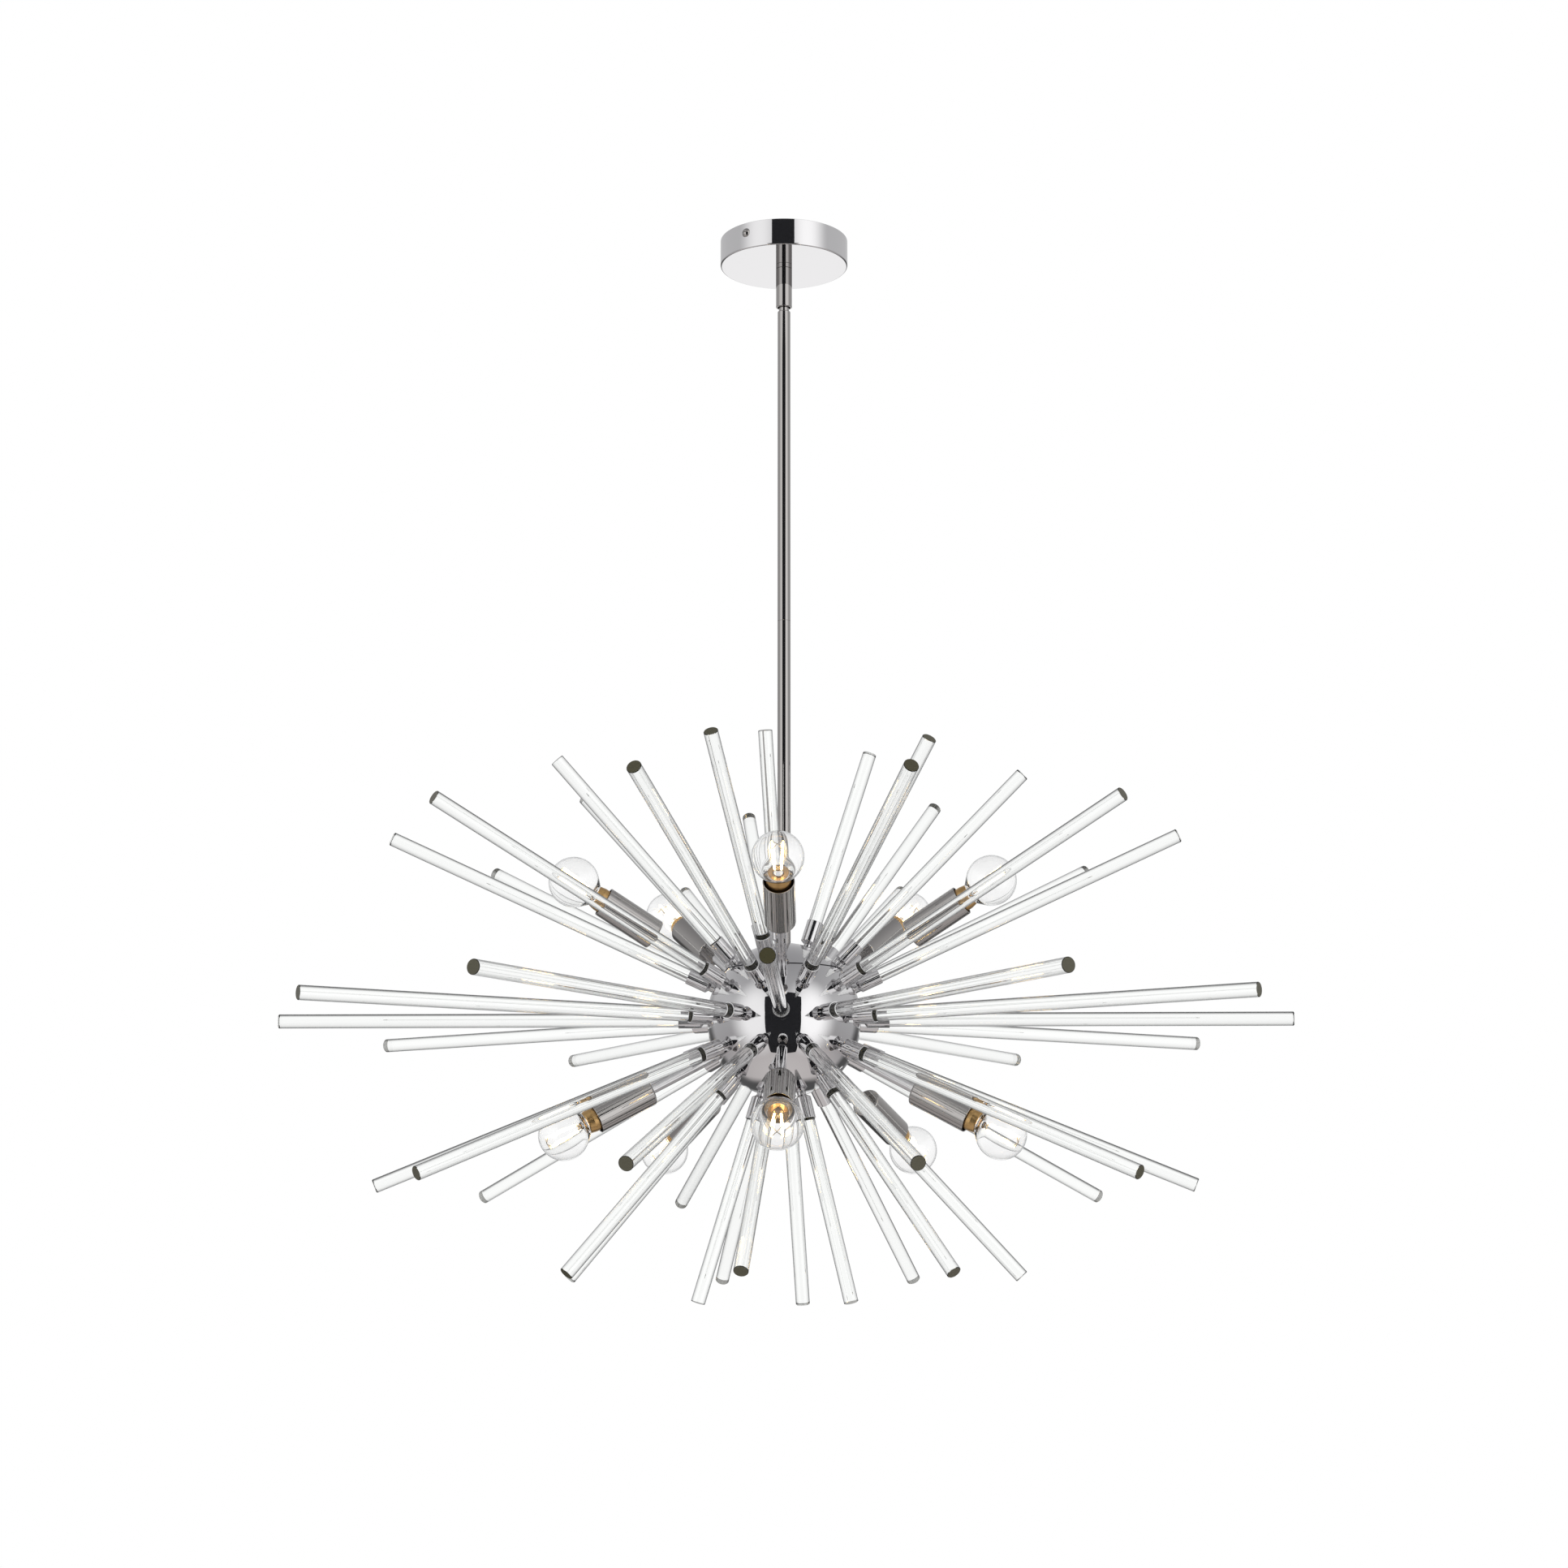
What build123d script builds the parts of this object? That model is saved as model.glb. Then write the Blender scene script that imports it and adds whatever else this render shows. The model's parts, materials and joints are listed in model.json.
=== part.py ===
from build123d import *
import math
import os

# A chrome pendant light. A ceiling canopy carries a jointed swivel and two stems, and a round hub
# at their foot holds a burst of clear glass rods and two rows of small globe bulbs.
# Millimetres. The origin is the middle of the canopy at the ceiling, +Z is up, the front is -Y.
# Azimuths are counted from the front towards +X, and elevations from the hub's equator upwards.

# Clearances
SLIP = 0.05
LOOSE = 0.1
TURN_GAP = 0.3

# Ceiling plate
PLATE_AZIMUTH = -34.7
PLATE_THICKNESS = 2.0
PLATE_WIDTH = 18.0
PLATE_WIRE_HOLE = 11.0
PLATE_TO_CANOPY = 1.0
EAR_DROP = 16.0
BOX_SCREW_CIRCLE = 88.9
BOX_SCREW_HOLE = 5.2
GROUND_SCREW_REACH = 26.0
GROUND_SCREW_HEAD = 8.0
GROUND_SCREW_HEAD_HEIGHT = 3.0

# Canopy and its side screws
CANOPY_DIAMETER = 120.0
CANOPY_HEIGHT = 25.0
CANOPY_WALL = 1.2
CANOPY_EDGE = 1.4
SIDE_SCREW_DROP = 9.5
SIDE_SCREW_HEAD = 8.5
SIDE_SCREW_HEAD_HEIGHT = 2.8
SIDE_SCREW_LENGTH = 10.0
SCREW_SLOT = 0.8

# Threads and their nuts
SMALL_THREAD = 4.0
ARM_THREAD = 8.0
PIPE_THREAD = 9.6
PIPE_BORE = 6.0
WIRE_BORE = 5.0
THREAD_END = 2.0
PIPE_NUT_FLATS = 16.0
PIPE_NUT_HEIGHT = 5.0
WASHER_DIAMETER = 28.0
WASHER_THICKNESS = 1.5

# Swivel under the canopy
SLEEVE_DIAMETER = 15.0
SLEEVE_LENGTH = 38.0
SLEEVE_CHAMBER = 12.6
SLEEVE_COLLAR_LENGTH = 14.0
SLEEVE_EDGE = 0.4
PIN_RECESS = 0.2
SPINDLE_FLANGE = 2.0
SPINDLE_JOURNAL = 9.0
SPINDLE_TAIL = 8.0
RETAINER_DIAMETER = 11.6
RETAINER_HEIGHT = 4.0
STOP_SCREW_DIAMETER = 3.0
STOP_DOG_DIAMETER = 2.0
STOP_GROOVE_DEPTH = 1.0
STOP_LAND_ANGLE = 16.0
BALL_DIAMETER = 12.0
BALL_NECK = 9.5
BALL_TAIL_LENGTH = 15.0
PIVOT_RISE = 4.0
PIVOT_PIN_DIAMETER = 3.0
PIVOT_PIN_END = 3.2
NECK_SHOW = 4.0

# Stems
STEM_DIAMETER = 12.0
STEM_LENGTH = 300.0
STEM_CHAMFER = 0.8
STEM_SEAM_CHAMFER = 0.3
COUPLER_LENGTH = 40.0

# Hub
HUB_DIAMETER = 139.0
HUB_WALL = 2.0
HUB_TOP_FLAT = 14.0
LID_SEAM_LATITUDE = 40.35
LID_LIP_WALL = 1.2
LID_LIP_DROP = 2.0
LID_LIP_RISE = 0.5
LIP_TO_FLANGE = 0.5
FLANGE_THICKNESS = 1.5
FLANGE_WIDTH = 7.0
STRAP_TO_BOWL = 2.4
HUB_STRAP_WIDTH = 18.0
HUB_STRAP_THICKNESS = 3.0
HUB_NIPPLE_GRIP = 20.0
HUB_STRAP_CORNER = 4.0

# Glass rods, their ferrules and screws
ROD_DIAMETER = 12.7
ROD_EDGE = 0.4
FERRULE_DIAMETER = 15.0
FERRULE_LENGTH = 25.5
FERRULE_FOOT_DIAMETER = 8.0
FERRULE_FOOT_LENGTH = 3.0
FERRULE_SHOULDER = 2.5
FERRULE_SOCKET_DEPTH = 18.0
FERRULE_EDGE = 0.4
ROD_SCREW_THREAD = 3.5
ROD_SCREW_GRIP = 5.0
ROD_SCREW_HEAD = 6.0
ROD_SCREW_HEAD_HEIGHT = 2.6
EQUATOR_ROD_LENGTH = 380.0
EQUATOR_COUNT = 12
MID_ROD_LENGTH = 318.0
MID_COUNT = 10
UPPER_MID_ELEVATION = 25.0
LOWER_MID_ELEVATION = -22.0
MID_AZIMUTH = 18.0
STEEP_ROD_LENGTH = 234.0
STEEP_COUNT = 7
UPPER_STEEP_ELEVATION = 45.7
LOWER_STEEP_ELEVATION = -47.0
UPPER_STEEP_AZIMUTH = -15.0
LOWER_STEEP_AZIMUTH = -8.0
POLAR_ROD_LENGTH = 186.0
POLAR_COUNT = 3
UPPER_POLAR_ELEVATION = 71.5
LOWER_POLAR_ELEVATION = -72.5
UPPER_POLAR_AZIMUTH = -10.0
LOWER_POLAR_AZIMUTH = 49.0

# Bulb arms, cups and lampholders
BULB_COUNT = 5
UPPER_BULB_ELEVATION = 31.0
LOWER_BULB_ELEVATION = -28.0
ARM_DIAMETER = 9.5
ARM_LENGTH = 70.5
ARM_NUT_FLATS = 11.0
ARM_NUT_HEIGHT = 4.0
CUP_DIAMETER = 27.5
CUP_LENGTH = 55.5
CUP_WALL = 1.0
CUP_FLOOR = 2.0
CUP_SHOULDER = 2.0
HOLDER_DIAMETER = 23.0
HOLDER_FOOT_DIAMETER = 12.0
HOLDER_FOOT_LENGTH = 7.0
HOLDER_LENGTH = 43.0
HOLDER_SHOULDER = 2.0
HOLDER_GRIP = 9.0
HOLDER_SOCKET_DEPTH = 14.0

# Bulbs
BULB_GLOBE = 45.0
BULB_GLASS = 0.8
BULB_NECK = 20.0
BULB_NECK_REACH = 21.8
BULB_SEAL = 1.6
BULB_STEM_DIAMETER = 4.6
BULB_STEM_LENGTH = 6.0
BULB_EXHAUST_BORE = 1.6
BASE_SHELL_DIAMETER = 11.7
BASE_COLLAR_DIAMETER = 21.6
BASE_COLLAR_LENGTH = 20.2
BASE_COLLAR_EDGE = 1.2
BASE_COLLAR_TAPER = 8.0
BASE_CONTACT_DIAMETER = 6.0
BASE_CONTACT_HEIGHT = 1.5
FILAMENT_COUNT = 4
FILAMENT_DIAMETER = 2.0
FILAMENT_LENGTH = 28.0
FILAMENT_FOOT_RADIUS = 4.0
FILAMENT_HEAD_RADIUS = 6.5
FILAMENT_LEAD_DIAMETER = 0.8
FILAMENT_DISC_DIAMETER = 3.6
FILAMENT_DISC_HEIGHT = 0.8
FILAMENT_RISE = 2.0

# Heights that follow from the sizes above
canopy_floor = -CANOPY_HEIGHT
sleeve_top = canopy_floor - SPINDLE_FLANGE - TURN_GAP
sleeve_bottom = sleeve_top - SLEEVE_LENGTH
sleeve_step = sleeve_top - SLEEVE_COLLAR_LENGTH
stop_height = sleeve_top - SLEEVE_COLLAR_LENGTH / 2
pivot_height = sleeve_bottom + PIVOT_RISE
stem_top = sleeve_bottom - NECK_SHOW
stem_seam = stem_top - STEM_LENGTH
stem_foot = stem_seam - STEM_LENGTH
hub_radius = HUB_DIAMETER / 2
hub_inside = hub_radius - HUB_WALL
hub_top = math.sqrt(hub_radius**2 - (HUB_TOP_FLAT / 2) ** 2)
hub_centre = stem_foot - hub_top
stem_bore = PIPE_THREAD + 2 * LOOSE
lid_seam = hub_radius * math.sin(math.radians(LID_SEAM_LATITUDE))
flange_top = lid_seam - LID_LIP_DROP - LIP_TO_FLANGE
strap_top = flange_top - FLANGE_THICKNESS
strap_bottom = strap_top - HUB_STRAP_THICKNESS

# Distances from the hub's centre along a rod or a bulb's axis
ferrule_mouth = hub_radius + FERRULE_LENGTH
rod_seat = ferrule_mouth - FERRULE_SOCKET_DEPTH
cup_back = hub_radius + ARM_LENGTH
cup_rim = cup_back + CUP_LENGTH
holder_back = cup_back + CUP_FLOOR
holder_front = holder_back + HOLDER_LENGTH
socket_floor = holder_front - HOLDER_SOCKET_DEPTH
collar_back = holder_front + TURN_GAP
collar_front = collar_back + BASE_COLLAR_LENGTH
globe_centre = collar_front + BULB_NECK_REACH


ON_FLOOR = (Align.CENTER, Align.CENTER, Align.MIN)


def turned(*outline):
    """A solid of revolution about Z from (radius, height) corners."""
    return revolve(Plane.XZ * make_face(Polyline(*outline, close=True)), Axis.Z)


def rod(diameter, low, high):
    """A plain round bar on Z between two heights."""
    bar = Cylinder(diameter / 2, high - low, align=ON_FLOOR)
    return Pos(0, 0, low) * bar


def tube(outside, inside, low, high):
    return rod(outside, low, high) - rod(inside, low - 1, high + 1)


def hexagon(flats, low, high):
    corner_radius = flats / math.sqrt(3)
    return Pos(0, 0, low) * extrude(RegularPolygon(corner_radius, 6), high - low)


def edges_at(shape, height, radius):
    """The circular edges of a turned shape at one height and radius."""
    def matches(edge):
        centre = edge.arc_center
        return abs(centre.Z - height) < 0.01 and abs(edge.radius - radius) < 0.01
    return shape.edges().filter_by(GeomType.CIRCLE).filter_by(matches)


def aim(azimuth, elevation):
    """The place of a radial piece: its own +Z points out of the hub, its zero is the hub's centre."""
    turn = math.radians(azimuth)
    lift = math.radians(elevation)
    outward = (math.sin(turn) * math.cos(lift), -math.cos(turn) * math.cos(lift), math.sin(lift))
    return Plane(origin=(0, 0, hub_centre), z_dir=outward).location


def sphere_reach(radius, offset):
    """How far along an axis through its centre a sphere reaches, at a distance from that axis."""
    return math.sqrt(radius**2 - offset**2)


def spread(count, first_azimuth, elevation):
    return [aim(first_azimuth + 360 * i / count, elevation) for i in range(count)]


equator_row = spread(EQUATOR_COUNT, 0, 0)
upper_mid_row = spread(MID_COUNT, MID_AZIMUTH, UPPER_MID_ELEVATION)
lower_mid_row = spread(MID_COUNT, MID_AZIMUTH, LOWER_MID_ELEVATION)
upper_steep_row = spread(STEEP_COUNT, UPPER_STEEP_AZIMUTH, UPPER_STEEP_ELEVATION)
lower_steep_row = spread(STEEP_COUNT, LOWER_STEEP_AZIMUTH, LOWER_STEEP_ELEVATION)
upper_polar_row = spread(POLAR_COUNT, UPPER_POLAR_AZIMUTH, UPPER_POLAR_ELEVATION)
lower_polar_row = spread(POLAR_COUNT, LOWER_POLAR_AZIMUTH, LOWER_POLAR_ELEVATION)
lid_places = upper_steep_row + upper_polar_row
bowl_places = equator_row + upper_mid_row + lower_mid_row + lower_steep_row + lower_polar_row
upper_bulb_places = spread(BULB_COUNT, 0, UPPER_BULB_ELEVATION)
lower_bulb_places = spread(BULB_COUNT, 0, LOWER_BULB_ELEVATION)
bulb_places = upper_bulb_places + lower_bulb_places

parts = {}


def place(solid, places):
    return Compound([where * solid for where in places])


# Ceiling plate: a strap with its two ends folded down into tapped ears
def ceiling_plate():
    corner_reach = CANOPY_DIAMETER / 2 - CANOPY_WALL - PLATE_TO_CANOPY
    ear_face = math.sqrt(corner_reach**2 - (PLATE_WIDTH / 2) ** 2)
    strap = Box(PLATE_WIDTH, 2 * ear_face, PLATE_THICKNESS, align=(Align.CENTER, Align.CENTER, Align.MAX))
    ear = Box(PLATE_WIDTH, PLATE_THICKNESS, EAR_DROP, align=(Align.CENTER, Align.MIN, Align.MAX))
    strap += Pos(0, -ear_face, 0) * ear
    strap += Pos(0, ear_face - PLATE_THICKNESS, 0) * ear
    bends = strap.edges().filter_by(Axis.X).group_by(Axis.Z)[-1]
    strap = fillet(bends, PLATE_THICKNESS * 0.9)
    strap -= rod(PLATE_WIRE_HOLE, -PLATE_THICKNESS - 1, 1)
    for side in (-1, 1):
        strap -= Pos(0, side * BOX_SCREW_CIRCLE / 2, 0) * rod(BOX_SCREW_HOLE, -PLATE_THICKNESS - 1, 1)
    strap -= Pos(0, GROUND_SCREW_REACH, 0) * rod(SMALL_THREAD + 2 * SLIP, -PLATE_THICKNESS - 1, 1)
    tapped = Rot(90, 0, 0) * rod(SMALL_THREAD + 2 * SLIP, -CANOPY_DIAMETER, CANOPY_DIAMETER)
    strap -= Pos(0, 0, -SIDE_SCREW_DROP) * tapped
    return Rot(0, 0, PLATE_AZIMUTH) * strap


def slotted_screw(head, head_height, thread, length):
    """A round-headed screw on Z: its head stands above zero and its thread hangs below."""
    dome_radius = ((head / 2) ** 2 + head_height**2) / (2 * head_height)
    dome = Pos(0, 0, head_height - dome_radius) * Sphere(dome_radius)
    screw = dome & rod(head, 0, head_height)
    slot = Box(head, SCREW_SLOT, head_height, align=ON_FLOOR)
    screw -= Pos(0, 0, head_height / 2) * slot
    return screw + rod(thread, -length, 0)


def ground_screw():
    screw = slotted_screw(GROUND_SCREW_HEAD, GROUND_SCREW_HEAD_HEIGHT, SMALL_THREAD, PLATE_THICKNESS)
    hanging = Pos(0, GROUND_SCREW_REACH, -PLATE_THICKNESS) * Rot(180, 0, 0) * screw
    return Rot(0, 0, PLATE_AZIMUTH) * hanging


def canopy_screws():
    screw = slotted_screw(SIDE_SCREW_HEAD, SIDE_SCREW_HEAD_HEIGHT, SMALL_THREAD, SIDE_SCREW_LENGTH)
    outward = Pos(0, -CANOPY_DIAMETER / 2, -SIDE_SCREW_DROP) * Rot(90, 0, 0) * screw
    return Compound([Rot(0, 0, PLATE_AZIMUTH + half_turn) * outward for half_turn in (0, 180)])


def canopy():
    cup = rod(CANOPY_DIAMETER, canopy_floor, 0)
    cup = fillet(edges_at(cup, canopy_floor, CANOPY_DIAMETER / 2), CANOPY_EDGE)
    cup -= rod(CANOPY_DIAMETER - 2 * CANOPY_WALL, canopy_floor + CANOPY_WALL, 1)
    cup -= rod(PIPE_THREAD + 2 * LOOSE, canopy_floor - 1, 0)
    across = Rot(90, 0, 0) * rod(SMALL_THREAD + 4 * LOOSE, -CANOPY_DIAMETER, CANOPY_DIAMETER)
    return cup - Rot(0, 0, PLATE_AZIMUTH) * Pos(0, 0, -SIDE_SCREW_DROP) * across


parts["mounting_plate"] = ceiling_plate()
parts["ground_screw"] = ground_screw()
parts["canopy"] = canopy()
parts["canopy_screws"] = canopy_screws()

# Swivel: a spindle fixed in the canopy, a sleeve that turns on it, and a ball that tilts in the sleeve
washer_bottom = canopy_floor + CANOPY_WALL
nut_bottom = washer_bottom + WASHER_THICKNESS
nut_top = nut_bottom + PIPE_NUT_HEIGHT
retainer_top = sleeve_step - TURN_GAP
retainer_bottom = retainer_top - RETAINER_HEIGHT
groove_floor = SPINDLE_JOURNAL / 2 - STOP_GROOVE_DEPTH


def swivel_spindle():
    thread = rod(PIPE_THREAD, canopy_floor, nut_top + THREAD_END)
    flange = rod(SLEEVE_DIAMETER, canopy_floor - SPINDLE_FLANGE, canopy_floor)
    journal = rod(SPINDLE_JOURNAL, retainer_top, canopy_floor)
    tail = rod(SPINDLE_TAIL, retainer_bottom - THREAD_END, retainer_top)
    spindle = thread + flange + journal + tail
    groove_half = STOP_DOG_DIAMETER / 2 + TURN_GAP
    section = Polyline(
        (groove_floor, stop_height - groove_half),
        (SPINDLE_JOURNAL, stop_height - groove_half),
        (SPINDLE_JOURNAL, stop_height + groove_half),
        (groove_floor, stop_height + groove_half),
        close=True,
    )
    groove = revolve(Plane.XZ * make_face(section), Axis.Z, 360 - STOP_LAND_ANGLE)
    spindle -= Rot(0, 0, STOP_LAND_ANGLE / 2 - 90) * groove
    return spindle - rod(WIRE_BORE, retainer_bottom - THREAD_END - 1, nut_top + THREAD_END + 1)


def swivel_sleeve():
    sleeve = rod(SLEEVE_DIAMETER, sleeve_bottom, sleeve_top)
    sleeve = chamfer(edges_at(sleeve, sleeve_bottom, SLEEVE_DIAMETER / 2), SLEEVE_EDGE)
    sleeve -= rod(SPINDLE_JOURNAL + 2 * SLIP, sleeve_step - 1, sleeve_top + 1)
    sleeve -= rod(SLEEVE_CHAMBER, sleeve_bottom - 1, sleeve_step)
    pin_hole = Rot(0, 90, 0) * rod(PIVOT_PIN_DIAMETER + 2 * SLIP, -SLEEVE_DIAMETER, SLEEVE_DIAMETER)
    sleeve -= Pos(0, 0, pivot_height) * pin_hole
    stop_hole = Rot(-90, 0, 0) * rod(STOP_SCREW_DIAMETER + 2 * SLIP, 0, SLEEVE_DIAMETER)
    return sleeve - Pos(0, 0, stop_height) * stop_hole


def swivel_pins():
    pin = Rot(0, 90, 0) * rod(PIVOT_PIN_DIAMETER, PIVOT_PIN_END, SLEEVE_DIAMETER / 2 - PIN_RECESS)
    right = Pos(0, 0, pivot_height) * pin
    return Compound([right, Rot(0, 0, 180) * right])


def stop_screw():
    dog = rod(STOP_DOG_DIAMETER, groove_floor + TURN_GAP, SLEEVE_DIAMETER / 2 - PIN_RECESS)
    thread_start = SPINDLE_JOURNAL / 2 + 2 * TURN_GAP
    screw = dog + rod(STOP_SCREW_DIAMETER, thread_start, SLEEVE_DIAMETER / 2 - PIN_RECESS)
    return Pos(0, 0, stop_height) * Rot(-90, 0, 0) * screw


def swivel_ball():
    ball = Pos(0, 0, pivot_height) * Sphere(BALL_DIAMETER / 2)
    ball += rod(BALL_NECK, stem_top, pivot_height)
    ball += rod(PIPE_THREAD, stem_top - BALL_TAIL_LENGTH, stem_top)
    ball -= rod(WIRE_BORE, stem_top - BALL_TAIL_LENGTH - 1, pivot_height + BALL_DIAMETER)
    pin_hole = Rot(0, 90, 0) * rod(PIVOT_PIN_DIAMETER + 2 * SLIP, -BALL_DIAMETER, BALL_DIAMETER)
    return ball - Pos(0, 0, pivot_height) * pin_hole


parts["swivel_spindle"] = swivel_spindle()
parts["spindle_washer"] = tube(WASHER_DIAMETER, PIPE_THREAD + 2 * LOOSE, washer_bottom, nut_bottom)
spindle_nut = hexagon(PIPE_NUT_FLATS, nut_bottom, nut_top)
parts["spindle_nut"] = spindle_nut - rod(PIPE_THREAD + 2 * SLIP, nut_bottom - 1, nut_top + 1)
parts["swivel_retainer"] = tube(RETAINER_DIAMETER, SPINDLE_TAIL + 2 * SLIP, retainer_bottom, retainer_top)
parts["swivel_sleeve"] = swivel_sleeve()
parts["swivel_pins"] = swivel_pins()
parts["stop_screw"] = stop_screw()
parts["swivel_ball"] = swivel_ball()


# Stems: two tubes end to end, joined by a threaded coupler inside
def stem(low, high, top_chamfer):
    bar = rod(STEM_DIAMETER, low, high)
    bar = chamfer(edges_at(bar, high, STEM_DIAMETER / 2), top_chamfer)
    bar = chamfer(edges_at(bar, low, STEM_DIAMETER / 2), STEM_SEAM_CHAMFER)
    return bar - rod(stem_bore, low - 1, high + 1)


parts["upper_stem"] = stem(stem_seam, stem_top, STEM_CHAMFER)
coupler_half = COUPLER_LENGTH / 2
parts["stem_coupler"] = tube(PIPE_THREAD, PIPE_BORE, stem_seam - coupler_half, stem_seam + coupler_half)
parts["lower_stem"] = stem(stem_foot, stem_seam, STEM_SEAM_CHAMFER)

# Hub: a spun bowl and its lid, clamped together by a nipple through a strap under the bowl's flange
lip_outside = sphere_reach(hub_inside, lid_seam) - LOOSE
rod_screw_hole = ROD_SCREW_THREAD + 4 * LOOSE
hub_shell = Sphere(hub_radius) - Sphere(hub_inside)
above_seam = Pos(0, 0, lid_seam) * Box(HUB_DIAMETER, HUB_DIAMETER, HUB_DIAMETER, align=ON_FLOOR)


def drilled(shell, places, hole):
    """A hub shell, modelled about the hub's centre, set in place and drilled at radial places."""
    drill = rod(hole, hub_inside - HUB_WALL, hub_radius + HUB_WALL)
    return Pos(0, 0, hub_centre) * shell - [where * drill for where in places]


def hub_lid():
    lid = hub_shell & above_seam
    lid -= rod(HUB_DIAMETER, hub_top, HUB_DIAMETER)
    lid -= rod(PIPE_THREAD + 2 * LOOSE, 0, HUB_DIAMETER)
    lip_low = lid_seam - LID_LIP_DROP
    lip_high = lid_seam + LID_LIP_RISE
    lid += tube(2 * lip_outside, 2 * (lip_outside - LID_LIP_WALL), lip_low, lip_high)
    return drilled(lid, lid_places, rod_screw_hole)


def hub_bowl():
    bowl = hub_shell - above_seam
    flange_opening = 2 * (sphere_reach(hub_inside, flange_top) - FLANGE_WIDTH)
    flange = tube(HUB_DIAMETER, flange_opening, strap_top, flange_top)
    bowl += flange & Sphere(hub_radius - HUB_WALL / 2)
    bowl = drilled(bowl, bowl_places, rod_screw_hole)
    arm_drill = rod(ARM_THREAD + 2 * LOOSE, hub_inside - HUB_WALL, hub_radius + HUB_WALL)
    return bowl - [where * arm_drill for where in bulb_places]


def hub_strap():
    corner_reach = sphere_reach(hub_inside, strap_top) - STRAP_TO_BOWL
    half_length = sphere_reach(corner_reach, HUB_STRAP_WIDTH / 2)
    strap = Box(2 * half_length, HUB_STRAP_WIDTH, HUB_STRAP_THICKNESS, align=ON_FLOOR)
    strap = fillet(strap.edges().filter_by(Axis.Z), HUB_STRAP_CORNER)
    strap = Pos(0, 0, strap_bottom) * strap
    strap -= rod(PIPE_THREAD + 2 * LOOSE, strap_bottom - 1, strap_top + 1)
    return Pos(0, 0, hub_centre) * strap


hub_nut_bottom = strap_bottom - PIPE_NUT_HEIGHT
hub_nipple = tube(PIPE_THREAD, PIPE_BORE, hub_nut_bottom - THREAD_END, hub_top + HUB_NIPPLE_GRIP)
hub_nut = hexagon(PIPE_NUT_FLATS, hub_nut_bottom, strap_bottom)
hub_nut -= rod(PIPE_THREAD + 2 * SLIP, hub_nut_bottom - 1, strap_bottom + 1)
parts["hub_lid"] = hub_lid()
parts["hub_bowl"] = hub_bowl()
parts["hub_strap"] = hub_strap()
parts["hub_nipple"] = Pos(0, 0, hub_centre) * hub_nipple
parts["hub_nut"] = Pos(0, 0, hub_centre) * hub_nut


# Rods: solid glass bars, each standing in a ferrule that a screw inside the hub holds
def glass_rod(length):
    low = rod_seat + LOOSE
    return chamfer(rod(ROD_DIAMETER, low, low + length).edges().filter_by(GeomType.CIRCLE), ROD_EDGE)


def ferrule():
    tapped = ROD_SCREW_THREAD / 2 + SLIP
    foot = FERRULE_FOOT_DIAMETER / 2
    body = FERRULE_DIAMETER / 2
    socket = ROD_DIAMETER / 2 + LOOSE
    foot_top = hub_radius + FERRULE_FOOT_LENGTH
    return turned(
        (tapped, hub_radius),
        (foot, hub_radius),
        (foot, foot_top),
        (body, foot_top + FERRULE_SHOULDER),
        (body, ferrule_mouth - FERRULE_EDGE),
        (body - FERRULE_EDGE, ferrule_mouth),
        (socket, ferrule_mouth),
        (socket, rod_seat),
        (tapped, rod_seat),
    )


def rod_screw():
    head_seat = sphere_reach(hub_inside, ROD_SCREW_HEAD / 2) - SLIP
    length = hub_radius + ROD_SCREW_GRIP - head_seat
    screw = slotted_screw(ROD_SCREW_HEAD, ROD_SCREW_HEAD_HEIGHT, ROD_SCREW_THREAD, length)
    return Pos(0, 0, head_seat) * Rot(180, 0, 0) * screw


parts["equator_rods"] = place(glass_rod(EQUATOR_ROD_LENGTH), equator_row)
parts["mid_rods"] = place(glass_rod(MID_ROD_LENGTH), upper_mid_row + lower_mid_row)
parts["steep_rods"] = place(glass_rod(STEEP_ROD_LENGTH), upper_steep_row + lower_steep_row)
parts["polar_rods"] = place(glass_rod(POLAR_ROD_LENGTH), upper_polar_row + lower_polar_row)
parts["rod_ferrules"] = place(ferrule(), lid_places + bowl_places)
parts["rod_screws"] = place(rod_screw(), lid_places + bowl_places)


# Bulb arms: hollow, threaded at both ends, each carrying a cup and a lampholder
def bulb_arm():
    arm = rod(ARM_DIAMETER, hub_radius, cup_back)
    arm += rod(ARM_THREAD, arm_nut_seat - ARM_NUT_HEIGHT - THREAD_END, holder_back + HOLDER_GRIP)
    return arm - rod(WIRE_BORE, 0, holder_front)


def arm_nut():
    nut = hexagon(ARM_NUT_FLATS, arm_nut_seat - ARM_NUT_HEIGHT, arm_nut_seat)
    return nut - rod(ARM_THREAD + 2 * SLIP, 0, hub_radius)


def socket_cup():
    cup = rod(CUP_DIAMETER, cup_back, cup_rim)
    cup = fillet(edges_at(cup, cup_back, CUP_DIAMETER / 2), CUP_SHOULDER)
    inside = rod(CUP_DIAMETER - 2 * CUP_WALL, holder_back, cup_rim + 1)
    inside = fillet(edges_at(inside, holder_back, CUP_DIAMETER / 2 - CUP_WALL), CUP_SHOULDER - CUP_WALL)
    return cup - inside - rod(ARM_THREAD + 2 * LOOSE, cup_back - 1, cup_rim)


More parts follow.
